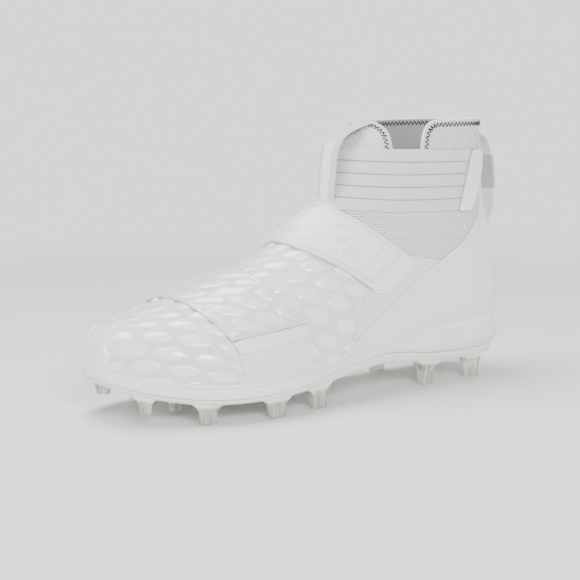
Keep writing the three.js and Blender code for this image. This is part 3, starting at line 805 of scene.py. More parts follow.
softbox("top_light", (0.15, -0.25, 1.2), (0, 0, 0), 1.0, 0.5, 21)
softbox("side_light", (0.45, 1.4, 0.85), (-0.05, 0, 0.1), 0.6, 0.5, 29)
softbox("toe_light", (1.3, -0.5, 0.5), (0.1, 0, 0.05), 0.25, 0.7, 7)
softbox("back_light", (-1.2, -0.6, 0.9), (0, 0, 0.08), 0.8, 0.8, 5)

# Midsole foam
foam = {"colour": colour8(242, 239, 247), "roughness": 0.5}
foamShade = Shader("foam", foam["colour"], foam["roughness"], Subsurface_Weight=0.12, Subsurface_Scale=0.002)
foamDrift = foamShade.mapped(foamShade.noise(0.03, 3), 0.3, 0.7)
foamShade.set("Base Color", foamShade.mix(foamDrift, foam["colour"], tinted(foam["colour"], 0.96)))
foamShade.bump(foamShade.noise(1.2, 3), 0.05)
midsole = makeMesh("midsole_foam", foamPoints, foamFaces, foamUv)
finishPiece(midsole, "foam", foamShade.material, "midsole")
print("midsole made")

# Outsole plate and studs
plate = {
    "colour": colour8(240, 240, 234),
    "glass": colour8(206, 206, 196),
    "inset": 0.2,
    "taper": 2.6,
    "embed": 1.2,
}


def plateTop(x):
    return foamBottom(x) - size["clearance"]


def plateLevel(shareDown, inward):
    return (
        lambda x: foamReach(x, 0.7, 0.6, 0.35) - plate["inset"] - inward,
        lambda x: lerp(plateTop(x), plateBottom(x), shareDown),
    )


plateRows = [
    (0, 0.5), (0.05, 0.15), (0.12, 0.0), (0.3, 0.05), (0.5, 0.35), (0.68, 0.75), (0.82, 1.15), (0.92, 1.6),
    (0.98, 2.2), (1.0, 3.0),
]
platePoints, plateFaces, _ = soleBody([plateLevel(*row) for row in plateRows])

# Studs: along and across as shares, turn in degrees and size
studRows = [
    (0.934, 0.4, 58, 0.8), (0.94, -0.62, -62, 0.8), (0.828, 0.7, 22, 1), (0.845, -0.78, -18, 1),
    (0.69, 0.9, 4, 1), (0.71, -0.79, -4, 1), (0.574, 0.79, -8, 1), (0.58, -0.62, 8, 1),
    (0.246, 0.51, 6, 1), (0.246, -0.51, -6, 1), (0.108, 0.48, -14, 0.95), (0.108, -0.48, 14, 0.95),
    (0.838, 0.05, 0, 0.8),
]
studFlare = [
    (0, 0.02, 0.9), (0.04, 0.0, 1.0), (0.2, 0.02, 1), (0.4, 0.08, 1), (0.58, 0.2, 1), (0.74, 0.42, 1),
    (0.87, 0.72, 1), (0.96, 1.05, 1), (1.0, 1.3, 1), (1.2, 1.3, 1),
]
studCorners = [
    (1, 0.42), (0.93, 0.72), (0.7, 1), (0.32, 0.9), (0.22, 0.78),
    (-0.22, 0.78), (-0.32, 0.9), (-0.7, 1), (-0.93, 0.72), (-1, 0.42),
]
studCorners += [(-a, -b) for a, b in studCorners]
# Length and width at the tip and the root, the low nub under the toe, and the front studs' heights
stud = {"tip": (11, 7), "root": (19, 13), "nub": 12, "nubShare": 0.84, "toeFrom": 0.88, "toe": (0.58, 0.82)}

plateRing = foot[:, :2] + footOut[:, :2] * (foamReach(foot[:, 0], 0.7, 0.6, 0.35) - 1.6)[:, None]


def plateSide(x, side):
    beside = plateRing[plateRing[:, 1] * side > 0]
    beside = beside[np.argsort(beside[:, 0])]
    return float(np.interp(x, beside[:, 0], beside[:, 1]))


studSizes = list(zip(stud["tip"], stud["root"]))


def studMesh(row, index):
    along, across, turned, scale = row
    x = along * size["length"]
    y = across * size["ball"] / 2
    root = float(plateBottom(x))
    bottom = root * (1 - stud["nubShare"]) if index == stud["nub"] else 0.0
    if along >= stud["toeFrom"]:
        bottom = root - size["stud"] * stud["toe"][across > 0]
    angle = math.radians(turned)
    points = []
    for level, flare, spread in studFlare:
        length, width = (lerp(tip, root, flare) * scale * spread for tip, root in studSizes)
        for a, b in studCorners:
            px, py = a * length / 2, b * width / 2
            qx = x + px * math.cos(angle) - py * math.sin(angle)
            qy = y + px * math.sin(angle) + py * math.cos(angle)
            qy = min(max(qy, plateSide(qx, -1)), plateSide(qx, 1))
            top = float(plateBottom(qx))
            points.append((qx, qy, lerp(bottom, top, level) if level <= 1 else top + plate["embed"]))
    n = len(studCorners)
    faces = ringFaces(len(studFlare), n)
    faces.append(list(range(n))[::-1])
    return np.array(points), faces


plateParts = [(platePoints, plateFaces), *(studMesh(row, i) for i, row in enumerate(studRows))]


def joined(parts):
    points, faces, count = [], [], 0
    for partPoints, partFaces in parts:
        points.append(np.asarray(partPoints, float))
        faces += [[i + count for i in face] for face in partFaces]
        count += len(partPoints)
    return np.concatenate(points), faces


plateShade = Shader("clear_plate", plate["colour"], 0.14, IOR=1.42, Coat_Weight=0.4, Coat_Roughness=0.06)
# The studs are clearer than the plate, with upright streaks.
stretched = plateShade.node("ShaderNodeMapping")
stretched.inputs["Scale"].default_value = (1, 1, 0.06)
plateShade.link(plateShade.spot(), stretched.inputs[0])
streakNoise = plateShade.node("ShaderNodeTexNoise")
streakNoise.inputs["Scale"].default_value = 420
plateShade.link(stretched.outputs[0], streakNoise.inputs[0])
streaks = plateShade.mapped(streakNoise.outputs[0], 0.4, 0.62)
clear = plateShade.field("clear")
plateShade.set("Base Color", plateShade.mix(
    plateShade.math("MULTIPLY", clear, streaks), plate["colour"], plate["glass"],
))
plateShade.set("Transmission Weight", plateShade.mapped(clear, 0, 1, 0.12, 0.7))
plateShade.bump(plateShade.math("MULTIPLY", clear, streakNoise.outputs[0]), 0.9)
plateJoined, joinedFaces = joined(plateParts)
clearShare = 1 - smooth(plateJoined[:, 2] - plateBottom(plateJoined[:, 0]), -3.0, -0.5)
plateMade = makeMesh("outsole_plate_clear", plateJoined, joinedFaces, None, {"clear": clearShare})
smoothing = plateMade.modifiers.new("edges", "EDGE_SPLIT")
smoothing.split_angle = math.radians(38)
finishPiece(plateMade, "plate", plateShade.material, "outsole_plate")
print("outsole plate made")

# Insole
insoleInset = -(size["wall"] + 0.8)
insoleRows = [(4.5, 4.0), (3.0, 3.9), (2.2, 3.3), (1.2, 0.0)]
insoleLevels = [
    (
        lambda x, inward=inward: np.full(len(x), insoleInset - inward),
        lambda x, high=high: footing(x) + size["clearance"] + high,
    )
    for inward, high in insoleRows
]
insolePoints, insoleFaces, _ = soleBody(insoleLevels)
insoleMade = makeMesh("insole_cloth", insolePoints, insoleFaces, insolePoints[:, :2] * mm)
insoleMaterial = meshCloth("insole_weave", colour8(206, 208, 210), colour8(178, 181, 184), 0.8, 0.1, 45)
finishPiece(insoleMade, "insole_cloth", insoleMaterial, "insole")

# The upper: stations are closer together where the sections fan out round the heel.
perRow = [12, 18, 22, 22, 22, 22, 22, 22, 22, 26, 32, 34, 24, 24, 22, 14, 12]
stations = np.concatenate([row + np.arange(count) / count for row, count in enumerate(perRow)] + [[17]])
stations[0] = 0.004
shares = np.linspace(-1, 1, 221)
upperGrid = lastGrid(stations, shares)
# The first row closes the tip of the toe.
tip = upperGrid["points"][0]
tipMiddle = (tip[0] + tip[-1]) / 2
upperGrid["points"][0] = tipMiddle + (tip - tipMiddle) * 0.03
print("last sampled", upperGrid["points"].shape)


def collarHeight(x):
    back = sidePoint([-0.1, 1, 1.04])
    front = sidePoint([0.5, 1, 0.97])
    return lerp(back[1], front[1], (x - back[0]) / (front[0] - back[0]))


notchOutline = rounded(sideOutline([
    [0.357, 1, 1.3], [0.357, 1, 0.985], [0.3535, 1, 0.95], [0.3505, 1, 0.9], [0.349, 1, 0.83],
    [0.349, 1, 0.6], [0.2925, 1, 0.6], [0.291, 1, 0.74], [0.286, 1, 0.87], [0.279, 1, 0.94],
    [0.271, 1, 0.975], [0.262, 1, 0.985], [0.262, 1, 1.3],
]), 2)


def collarDepth(points, lower=0.0):
    flat = points.reshape(-1, 3)
    depth = collarHeight(flat[:, 0]) - lower - flat[:, 2]
    notch = -depthInside(flat[:, [0, 2]], notchOutline) - lower
    depth = np.where(flat[:, 1] > 0, np.minimum(depth, notch), depth)
    return depth.reshape(points.shape[:-1])


# Raised cells in staggered rows, which run down and back from the ridge: how deep inside its cell
# each point lies, below 0 between the cells. Each row's place is across the rows, at turn degrees.
cells = {"turn": 33.5, "step": 27.7, "start": 47.3, "height": 1.25, "ridge": 5.0}
rowPlaces = [-142, -62, -54, -45.3, -35.4, -25, -16, -9, -0.7, 7.4, 14, 94]
rowNumbers = [-10, 0, 1, 2, 3, 4, 5, 6, 7, 8, 9, 19]


def cellDepth(grid, shift=0.0, boxy=0.0):
    x, along = grid["points"][..., 0], grid["along"]
    out = np.hypot(grid["across"], cells["ridge"])
    cosine, sine = math.cos(math.radians(cells["turn"])), math.sin(math.radians(cells["turn"]))
    up = np.interp(out * cosine - along * sine, rowPlaces, rowNumbers)
    line = np.round(up)
    place = (along * cosine + out * sine - cells["start"]) / cells["step"] + shift
    place = place + np.where(line % 2 == 0, 0.0, 0.5)
    column = np.round(place)
    chance = np.sin(line * 12.9898 + column * 78.233 + (grid["across"] < 0) * 4.1) * 43758.5453
    chance = chance - np.floor(chance)
    long = np.interp(x, [130, 160, 190, 240, 300], [0.66, 0.76, 0.86, 0.92, 0.86]) + 0.06 * chance
    wide = np.interp(x, [130, 160, 190, 240, 300], [0.74, 0.8, 0.86, 0.86, 0.84])
    u = np.abs(place - column) * 2 / long
    v = np.abs(up - line) * 2 / wide
    lens = u**1.9 + v**1.2
    hexagon = np.maximum(v, u + 0.3 * v)
    return 1 - (lens + (hexagon - lens) * boxy), chance


def cellHeight(depth, chance):
    rise = 0.8 * (1 - (1 - np.clip(depth / 0.26, 0, 1)) ** 2) + 0.2 * np.clip(depth, 0, 1)
    return np.where(depth > 0, rise, 0) * (0.8 + 0.4 * chance)


# Cells fade out behind the midfoot strap, towards the knit of the ankle.
def cellZone(points):
    line = np.interp(points[..., 2], [20, 45, 75, 118, 130], [128, 135, 133, 147, 160])
    return smooth(points[..., 0] - line, -3, 6)


# Landing patches lie over the cells, which are pressed flat there.
forefootPatch = sideOutline([
    [0.778, 0.24], [0.611, 0.31], [0.6, 0.1], [0.606, -0.3], [0.75, -0.3], [0.762, 0],
])
midfootPatch = sideOutline([
    [0.305, 0.735], [0.23, 0.68], [0.3, 0.5], [0.42, 0.25], [0.49, 0.18], [0.455, 0.45], [0.4, 0.66],
])
barePoints = upperGrid["points"]
depth, chance = cellDepth(upperGrid, 0.0, 0.35)
zone = cellZone(barePoints)
toeCap = 1 - smooth(upperGrid["along"], 14, 26)
upperGrid["cell"] = np.maximum(np.where(zone > 0.5, depth, -1.0), toeCap * 2 - 1)
upperGrid["zone"] = zone
height = cellHeight(depth, chance) * zone * (1 - toeCap) * cells["height"]
for outline in (forefootPatch, midfootPatch):
    pressed = 1 - 0.85 * smooth(sideDepth(barePoints, outline), -2, 0)
    height = np.where(barePoints[..., 1] > 0, height * pressed, height)
# Soft creases: (x, z, reach along, reach across, slope, depth), on both sides
creases = [
    (100, 104, 22, 2.2, -0.12, 1.2), (92, 99, 26, 2.6, -0.2, -0.9), (126, 100, 16, 2.4, 0.5, 0.6),
    (84, 112, 18, 2.0, 0.05, 0.5), (207, 66, 4.5, 18, 0.0, 0.7), (226, 62, 3.5, 16, 0.0, 0.5),
    (110, 176, 18, 5, 0.3, 0.7), (70, 172, 3, 12, 0.0, 0.6),
]
for cx, cz, along, across, slope, deep in creases:
    dx = barePoints[..., 0] - cx
    dz = barePoints[..., 2] - cz - slope * dx
    height = height - deep * np.exp(-((dx / along) ** 2) - (dz / across) ** 2)
upperGrid["points"] = barePoints + upperGrid["normals"] * height[..., None]

knit = {
    "film": colour8(246, 243, 237),
    "yarn": colour8(241, 239, 239),
    "gap": colour8(200, 198, 201),
    "hole": colour8(66, 68, 78),
}
knitShade = Shader("knit_and_film", knit["film"], 0.6)
inCell = knitShade.mapped(knitShade.field("cell"), -0.02, 0.06)
zoneField = knitShade.field("zone")
# Square mesh between the cells, and a looser slanted net round the ankle
u, v = knitShade.uv(0)
fine = knitShade.math("MULTIPLY", knitShade.wave(u, 2.8), knitShade.wave(v, 2.8))
fineHole = knitShade.mapped(knitShade.math("ABSOLUTE", fine), 0.35, 0.85, 0, 0.8)
wander = knitShade.math("MULTIPLY", knitShade.noise(0.05, 2), 3.0)

# The net's two thread directions, measured round the shaft
shaftMiddle = 70.0
netX, netY, netZ = knitShade.separated(knitShade.spot())
forward = knitShade.math("SUBTRACT", netX, float(origin[0] + shaftMiddle) * mm)
sideways = knitShade.math("SUBTRACT", netY, float(origin[1]) * mm)
around = knitShade.math("MULTIPLY", knitShade.math("ARCTAN2", forward, sideways), 55.0)
upward = knitShade.math("MULTIPLY", netZ, 1 / mm)


def netPlace(slant):
    flatShare, risingShare = math.cos(math.radians(slant)), math.sin(math.radians(slant))
    level = knitShade.math("MULTIPLY", around, flatShare)
    rising = knitShade.math("MULTIPLY", upward, risingShare)
    return knitShade.math("ADD", knitShade.math("ADD", level, rising), wander)


net = knitShade.math("ADD", knitShade.wave(netPlace(19), 1.35), knitShade.wave(netPlace(98), 1.3))
netHole = knitShade.mapped(net, 0.3, 1.1)
ankleShare = knitShade.math("SUBTRACT", 1.0, zoneField, clamp=True)
offCell = knitShade.math("SUBTRACT", 1.0, inCell, clamp=True)
fineHole = knitShade.math("MULTIPLY", knitShade.math("MULTIPLY", fineHole, zoneField), offCell)
netHole = knitShade.math("MULTIPLY", netHole, ankleShare)
cloth = knitShade.mix(fineHole, knit["yarn"], knit["gap"])
cloth = knitShade.mix(netHole, cloth, knit["hole"])
film = knitShade.drift(knit["film"], 0.96, 0.06)
isFilm = knitShade.math("MULTIPLY", inCell, zoneField)
knitShade.set("Base Color", knitShade.mix(isFilm, cloth, film))
knitShade.set("Roughness", knitShade.mapped(isFilm, 0, 1, 0.72, 0.3))
knitShade.set("Coat Weight", knitShade.mapped(isFilm, 0, 1, 0.04, 0.95))
knitShade.surface.inputs["Coat Roughness"].default_value = 0.05
swell = knitShade.math("MULTIPLY", knitShade.noise(0.25, 2), 0.8)
ripple = knitShade.math("SUBTRACT", swell, knitShade.math("ADD", fineHole, netHole))
knitShade.bump(ripple, 0.3)
upperLoops = overlayPiece(
    "upper_knit", upperGrid, collarDepth(barePoints, 1.0), (0.0, 0.1, 0.1),
    "knit", knitShade.material, ["upper"], ["cell", "zone"],
)
print("upper made", len(upperLoops), "open edges")

# Lining, seen through the collar and the notch
lining = {"colour": colour8(170, 172, 170), "hole": colour8(132, 134, 132)}
liningStations = np.concatenate([np.arange(0.3, 9, 0.25), np.arange(9, 17.01, 0.09)])
liningGrid = lastGrid(liningStations, np.linspace(-1, 1, 121))
liningDepth = collarDepth(liningGrid["points"], 1.0)
liningMaterial = meshCloth("lining_cloth", lining["colour"], lining["hole"], 1.1, 0.12, 45, 0.5)
overlayPiece("upper_lining", liningGrid, liningDepth, (-size["wall"], 0.05, 0.05), "knit", liningMaterial)
print("lining made")

# The collar's edge, as one loop with its normals
collarLoop = max(
    (loop for loop in upperLoops if loop[0][:, 2].mean() > 120),
    key=lambda loop: len(loop[0]),
)
edgeLine = smoothedLoop(np.concatenate(collarLoop, axis=1), 3)
edgeLine, edgeLength = resample(edgeLine, 1.0, True)
edgeLine = smoothedLoop(edgeLine, 4)
edgePoints = edgeLine[:, :3]
edgeNormals = unit(edgeLine[:, 3:])
edgeTangents = unit(np.roll(edgePoints, -1, axis=0) - np.roll(edgePoints, 1, axis=0))
edgeUps = np.cross(edgeTangents, edgeNormals)
if edgeUps[:, 2].mean() < 0:
    edgeUps = -edgeUps
print("collar edge", round(edgeLength), "mm")

binding = {"width": 2.7, "height": 1.8, "sunk": 0.2, "colour": colour8(236, 236, 230)}
bindingPoints, bindingFaces = tube(
    edgePoints - edgeNormals * size["wall"] / 2 - edgeUps * binding["sunk"],
    edgeNormals,
    edgeUps,
    circleProfile(binding["width"], binding["height"], 14),
    True,
)
bindingShade = Shader("binding_rib", binding["colour"], 0.8, Sheen_Weight=0.2)
bindingShade.bump(bindingShade.noise(1.2, 2), 0.15)
finishPiece(makeMesh("collar_binding", bindingPoints, bindingFaces), "knit", bindingShade.material)

# Zigzag stitches along the collar's edge, outside and inside
zigzag = {"step": 1.6, "reach": 2.1, "from": 3.0, "thread": 0.76, "colour": colour8(14, 15, 18)}


def zigzagLine(lift):
    line = np.concatenate([edgePoints, edgeNormals, edgeUps], axis=1)
    line, _ = resample(line, zigzag["step"], True)
    if len(line) % 2:
        line = line[:-1]
    across = np.where(np.arange(len(line)) % 2 == 0, 1.0, -1.0) * zigzag["reach"]
    points = line[:, :3] + line[:, 3:6] * lift - line[:, 6:9] * (zigzag["from"] - across)[:, None]
    return points, line[:, 3:6]


def threadTube(points, normals, thickness, closed=True):
    places = np.concatenate([points, normals], axis=1)
    n = len(places)
    spans = range(n if closed else n - 1)
    fine = [lerp(places[i], places[(i + 1) % n], k / 3) for i in spans for k in range(3)]
    at = smoothedLoop(np.array(fine), 1, closed)
    tangents = np.roll(at[:, :3], -1, axis=0) - np.roll(at[:, :3], 1, axis=0)
    if not closed:
        tangents[0] = at[1, :3] - at[0, :3]
        tangents[-1] = at[-1, :3] - at[-2, :3]
    ups = unit(at[:, 3:])
    sides = unit(np.cross(unit(tangents), ups))
    return tube(at[:, :3], sides, ups, circleProfile(thickness, thickness * 0.8, 6), closed)


zigzagParts = [
    threadTube(*zigzagLine(0.35), zigzag["thread"]),
    threadTube(*zigzagLine(-size["wall"] - 0.35), zigzag["thread"]),
]
zigzagMaterial = thread("zigzag_thread", zigzag["colour"])
finishPiece(makeMesh("collar_zigzag", *joined(zigzagParts)), "knit", zigzagMaterial)
print("collar made")


# A grid over part of the last at a finer step, for an overlay
def overlayGrid(rowFrom, rowTo, step, shareFrom=-1.0, shareTo=1.0):
    count = int((rowTo - rowFrom) / step[0]) + 1
    columns = int((shareTo - shareFrom) / step[1]) + 1
    return lastGrid(np.linspace(rowFrom, rowTo, count), np.linspace(shareFrom, shareTo, columns))


# How deep a grid's points lie inside an outline on the outer side and another on the inner one
def outlineDepth(grid, outer, inner, inset):
    points = grid["points"]
    depth = np.full(points.shape[:-1], -50.0)
    if outer is not None:
        depth = np.where(points[..., 1] > 0, sideDepth(points, outer), depth)
    if inner is not None:
        depth = np.where(points[..., 1] <= 0, sideDepth(points, inner), depth)
    return depth - inset


lastTree = BVHTree.FromPolygons(
    [tuple(v) for v in toRow(barePoints)],
    [tuple(q) for q in gridQuads(*barePoints.shape[:2]).tolist()],
)


# Where a ray meets the bare last, with the normal there turned towards a given side
def castOnto(start, ray, towards):
    hit, normal, _, _ = lastTree.ray_cast(Vector(toRow(start)[0]), Vector(ray))
    if hit is None:
        return None
    n = np.array(normal)
    return np.array(hit) / mm - origin, -n if n @ np.array(towards) < 0 else n


# Stitches along a side-view line on one side
stitch = {"length": 2.3, "gap": 1.0, "thickness": 0.45, "sunk": 0.15, "raised": 0.12}


def stitches(line, side, lift):
    step = stitch["length"] + stitch["gap"]
    flatLine, _ = resample(np.column_stack([line, np.zeros(len(line))]), step, False)
    lifts = np.array([lift - stitch["sunk"], lift + stitch["raised"], lift - stitch["sunk"]])
    parts = []
    for a, b in zip(flatLine[:-1, :2], flatLine[1:, :2]):
        b = a + (b - a) * stitch["length"] / step
        ends = []
        for u in (0, 0.5, 1):
            x, z = lerp(a, b, u)
            ends.append(castOnto((x, side * 150, z), (0, -side, 0), (0, side, 0)))
        if any(end is None for end in ends):
            continue
        points = np.array([end[0] for end in ends])
        normals = np.array([end[1] for end in ends])
        parts.append(threadTube(points + normals * lifts[:, None], normals, stitch["thickness"], False))
    return parts


# Heel counter
counterEdge = [
    [0.088, 1, 0.72], [0.105, 1, 0.17], [0.117, 1, 0.05], [0.147, 0.92], [0.19, 0.79], [0.284, 0.6],
    [0.395, 0.355], [0.477, 0.18], [0.56, 0], [0.61, -0.12],
]
counterBack = [[-0.1, -0.5], [-0.1, 1, 0.84], [0.076, 1, 0.84]]
counterFront = [[0.36, 0.36], [0.395, 0.16], [0.405, 0], [0.41, -0.5]]
counter = {
    "outer": sideOutline([*counterEdge, [0.6, -0.5], *counterBack]),
    "inner": sideOutline([*counterEdge[:6], *counterFront, *counterBack]),
    "lift": 1.5,
    "colour": colour8(238, 237, 242),
    "thread": colour8(176, 176, 182),
    "seams": (2.6, 5.4),
}
counterGrid = overlayGrid(7.5, 16.6, (0.028, 0.009))
counterDepth = outlineDepth(counterGrid, counter["outer"], counter["inner"], 0.3)
counterLeather = leather("counter_leather", counter["colour"])
counterRim = (counter["lift"], 0.5, 1.5)
overlayPiece(
    "counter_leather", counterGrid, counterDepth, counterRim, "counter", counterLeather, ["heel_counter"],
)
seam = sideOutline(counterEdge[:9])
seamStitches = []
for offset in counter["seams"]:
    moved = seam + np.array([-0.62, -0.78]) * offset
    seamStitches += stitches(moved, 1, counter["lift"] + 0.05)
    seamStitches += stitches(moved[:6], -1, counter["lift"] + 0.05)
stitchMaterial = thread("pale_thread", counter["thread"])
finishPiece(makeMesh("counter_stitches", *joined(seamStitches)), "counter", stitchMaterial)
print("counter made")

# Landing patches
patchRim = (0.8, 0.4, 0.9)
patchLeather = leather("patch_leather", colour8(240, 230, 228), 0.38)
foreGrid = overlayGrid(4.5, 8.5, (0.035, 0.008), 0.3, 1.0)
foreDepth = outlineDepth(foreGrid, forefootPatch, None, 0.2)
overlayPiece(
    "forefoot_patch_leather", foreGrid, foreDepth, patchRim,
    "forefoot_patch", patchLeather, ["forefoot_patch"],
)
landingLeather = leather("landing_leather", colour8(229, 227, 220), 0.5)
midGrid = overlayGrid(8.2, 13.0, (0.025, 0.008), 0.2, 1.0)
besideCounter = -sideDepth(midGrid["points"], counter["outer"] + [0.7, 0])
midDepth = np.minimum(outlineDepth(midGrid, midfootPatch, None, 0.2), besideCounter)
overlayPiece(
    "midfoot_patch_leather", midGrid, midDepth, patchRim,
    "midfoot_patch", landingLeather, ["midfoot_patch"],
)
print("patches made")

# Forefoot strap, with the cells showing through its film. Its tall outline runs on under the tab,
# so that only the front and rear edges have a fold.
strapLift = 0.3 + 0.5 + 0.3
forefootTop = [[0.862, 0.66], [0.7, 0.86], [0.688, 0.72], [0.652, 0.5]]
forefoot = {
    "outer": sideOutline([*forefootTop, [0.611, 0.341], [0.784, 0.271]]),
    "tall": sideOutline([*forefootTop, [0.6, 0.27], [0.598, 0.1], [0.79, 0.05]]),
    "inner": sideOutline([
        [0.688, 0.72], [0.7, 0.86], [0.862, 0.66], [0.832, 0.52], [0.852, -0.2], [0.655, -0.2], [0.668, 0.4],
    ]),
    "tab": rounded(sideOutline([[0.786, 0.269], [0.611, 0.337], [0.602, 0.258], [0.771, 0.182]]), 1, 0.12),
    "lift": strapLift + 1.1,
    "colour": colour8(240, 239, 234),
    "between": colour8(224, 220, 216),
    "fold": colour8(232, 221, 217),
    # Painted shadow colour for the rolled edge
    "shade": colour8(150, 138, 132),
    "tabColour": colour8(238, 238, 246),
}
filmGrid = overlayGrid(4.0, 8.6, (0.03, 0.0072))
filmDepth = outlineDepth(filmGrid, forefoot["outer"], forefoot["inner"], 0.3)
foldDepth = outlineDepth(filmGrid, forefoot["tall"], forefoot["inner"], 0.3)
fromEdge = np.minimum(smooth(filmDepth, 1.2, 3.2), smooth(foldDepth, 3.2, 5.2))
filmCells, filmChance = cellDepth(filmGrid, -0.4, 0.9)
filmGrid["cell"] = np.where(fromEdge > 0.3, filmCells, -1)
filmGrid["fold"] = 1 - smooth(foldDepth, 3.0, 4.0)
filmRise = cellHeight(filmCells, filmChance) * fromEdge * 0.85 + 0.55 * bell(foldDepth, 1.7, 1.5)
filmGrid["points"] = filmGrid["points"] + filmGrid["normals"] * filmRise[..., None]
filmShade = Shader("strap_film", forefoot["colour"], 0.3, Coat_Weight=0.8, Coat_Roughness=0.06)
onCell = filmShade.mapped(filmShade.field("cell"), -0.02, 0.12)
filmFace = filmShade.mix(onCell, forefoot["between"], forefoot["colour"])
filmFace = filmShade.mix(filmShade.field("fold"), filmFace, forefoot["fold"])
# The rolled edge is painted dark brown-grey: painted shadow in the gap under the film's edge.
filmShade.set("Base Color", filmShade.mix(filmShade.field("wall"), filmFace, forefoot["shade"]))
filmShade.set("Roughness", filmShade.mapped(onCell, 0, 1, 0.5, 0.34))
filmShade.bump(filmShade.noise(0.25, 2), 0.2)
overlayPiece(
    "forefoot_strap_film", filmGrid, filmDepth, (forefoot["lift"], 0.5, 2.2), "forefoot_strap",
    filmShade.material, ["forefoot_strap"], ["cell", "fold"],
)

tabGrid = overlayGrid(4.5, 8.5, (0.03, 0.006), 0.3, 1.0)
tabDepth = outlineDepth(tabGrid, forefoot["tab"], None, 0.4)
tabLeather = leather("tab_leather", forefoot["tabColour"], 0.35)
tabRim = (strapLift + 1.5, 0.6, 2.0)
overlayPiece(
    "forefoot_tab_leather", tabGrid, tabDepth, tabRim, "strap_tab", tabLeather, ["forefoot_strap_tab"],
)
print("forefoot strap made")

# Midfoot strap, with faint slanting ripples inside a rim and a groove
midStrap = {
    "outer": sideOutline([
        [0.505, 1, 0.25], [0.59, 0.96], [0.575, 0.835], [0.5, 0.685], [0.428, 0.515], [0.401, 0.5],
        [0.332, 0.66], [0.329, 0.73],
    ]),
    "inner": sideOutline([
        [0.575, 0.835], [0.59, 0.96], [0.505, 1, 0.25], [0.472, 1, 0.132], [0.44, 0.6],
        [0.425, -0.2], [0.555, -0.2], [0.565, 0.4],
    ]),
    "trim": rounded(sideOutline([
        [0.438, 0.535], [0.424, 0.486], [0.392, 0.478], [0.318, 0.65], [0.316, 0.715], [0.336, 0.75],
    ]), 2),
    "thickness": 2.2,
    "relief": 0.42,
    "groove": 0.55,
    "colour": colour8(243, 240, 245),
    # Painted shade for the ripples' valleys
    "shade": colour8(224, 222, 229),
    "rim": colour8(229, 223, 208),
    # Painted contact shade for the rolled edge
    "wall": colour8(196, 180, 172),
    "trimColour": colour8(240, 240, 242),
}
strapGrid = overlayGrid(7.6, 12.6, (0.02, 0.0068))
strapFlat = strapGrid["points"]
outsideTrim = np.where(strapFlat[..., 1] > 0, -sideDepth(strapFlat, midStrap["trim"]), 50)
strapDepth = outlineDepth(strapGrid, midStrap["outer"], midStrap["inner"], 0.3)
strapDepth = np.minimum(strapDepth, outsideTrim - 0.2)
alongRipple = 0.92 * strapFlat[..., 0] - 0.38 * strapFlat[..., 2]
acrossRipple = 0.38 * strapFlat[..., 0] + 0.92 * strapFlat[..., 2]
relief = np.sin(acrossRipple / 1.15 + 1.3 * np.sin(alongRipple / 4.1) + 0.6 * np.sin(alongRipple / 1.9 + 1))
relief = relief * (0.65 + 0.35 * np.sin(alongRipple / 5.3 + acrossRipple / 7.1))
strapGrid["quilt"] = relief * smooth(strapDepth, 4.0, 7.5)
strapGrid["rim"] = bell(strapDepth, 2.2, 1.2)
strapGroove = bell(strapDepth, 4.2, 0.6) + 0.6 * bell(strapDepth, 0.9, 0.4)
strapRise = midStrap["relief"] * strapGrid["quilt"] - midStrap["groove"] * strapGroove
strapGrid["points"] = strapFlat + strapGrid["normals"] * strapRise[..., None]
strapShade = Shader("midfoot_strap_leather", midStrap["colour"], 0.45, Coat_Weight=0.1, Coat_Roughness=0.3)
onRim = strapShade.mapped(strapShade.field("rim"), 0.3, 0.75)
# The ripples' valleys are painted greyer: painted shade in the hollows.
valleyShade = strapShade.mapped(strapShade.field("quilt"), -0.3, -0.95)
strapFace = strapShade.mix(valleyShade, midStrap["colour"], midStrap["shade"])
strapFace = strapShade.mix(onRim, strapFace, midStrap["rim"])
# The rolled edge is painted brownish grey: painted contact shade under the strap's edge.
strapShade.set("Base Color", strapShade.mix(strapShade.field("wall"), strapFace, midStrap["wall"]))
strapShade.set("Roughness", strapShade.mapped(onRim, 0, 1, 0.45, 0.25))
strapShade.bump(strapShade.noise(1.2, 3), 0.05)
overlayPiece(
    "midfoot_strap_leather", strapGrid, strapDepth, (strapLift + midStrap["thickness"], 0.7, 3.0),
    "midfoot_strap", strapShade.material, ["midfoot_strap"], ["rim", "quilt"],
)

trimGrid = overlayGrid(9.0, 12.6, (0.02, 0.006), 0.2, 1.0)
trimDepth = outlineDepth(trimGrid, midStrap["trim"], None, 0.2)
trimGroove = bell(trimDepth, 2.6, 0.5) + bell(trimDepth, 4.6, 0.5)
trimGrid["points"] = trimGrid["points"] - trimGrid["normals"] * (0.4 * trimGroove)[..., None]
trimLeather = leather("trim_gloss", midStrap["trimColour"], 0.22, 0.02)
trimRim = (strapLift + midStrap["thickness"] * 0.85, 0.7, 2.6)
overlayPiece(
    "midfoot_trim_gloss", trimGrid, trimDepth, trimRim, "strap_trim", trimLeather, ["midfoot_strap_trim"],
)
print("midfoot strap made")


# A band wrapped round the shaft, found by casting level rays from inside it: rows run up the band
# and columns round it.
def wrappedBand(columns, rows, angleAt, heightAt, liftAt):
    points = np.zeros((len(rows), len(columns), 3))
    normals = np.zeros((len(rows), len(columns), 3))
    for i, v in enumerate(rows):
        for j, u in enumerate(columns):
            angle = angleAt(u, v)
            ray = (math.cos(angle), math.sin(angle), 0)
            points[i, j], normals[i, j] = castOnto((shaftMiddle, 0, heightAt(angle, v)), ray, ray)
    for _ in range(3):
        normals[:, 1:-1] = (normals[:, :-2] + 2 * normals[:, 1:-1] + normals[:, 2:]) / 4
    normals = unit(normals)
    lifts = np.array([[liftAt(u, v) for u in columns] for v in rows])
    return points + normals * lifts[..., None], normals


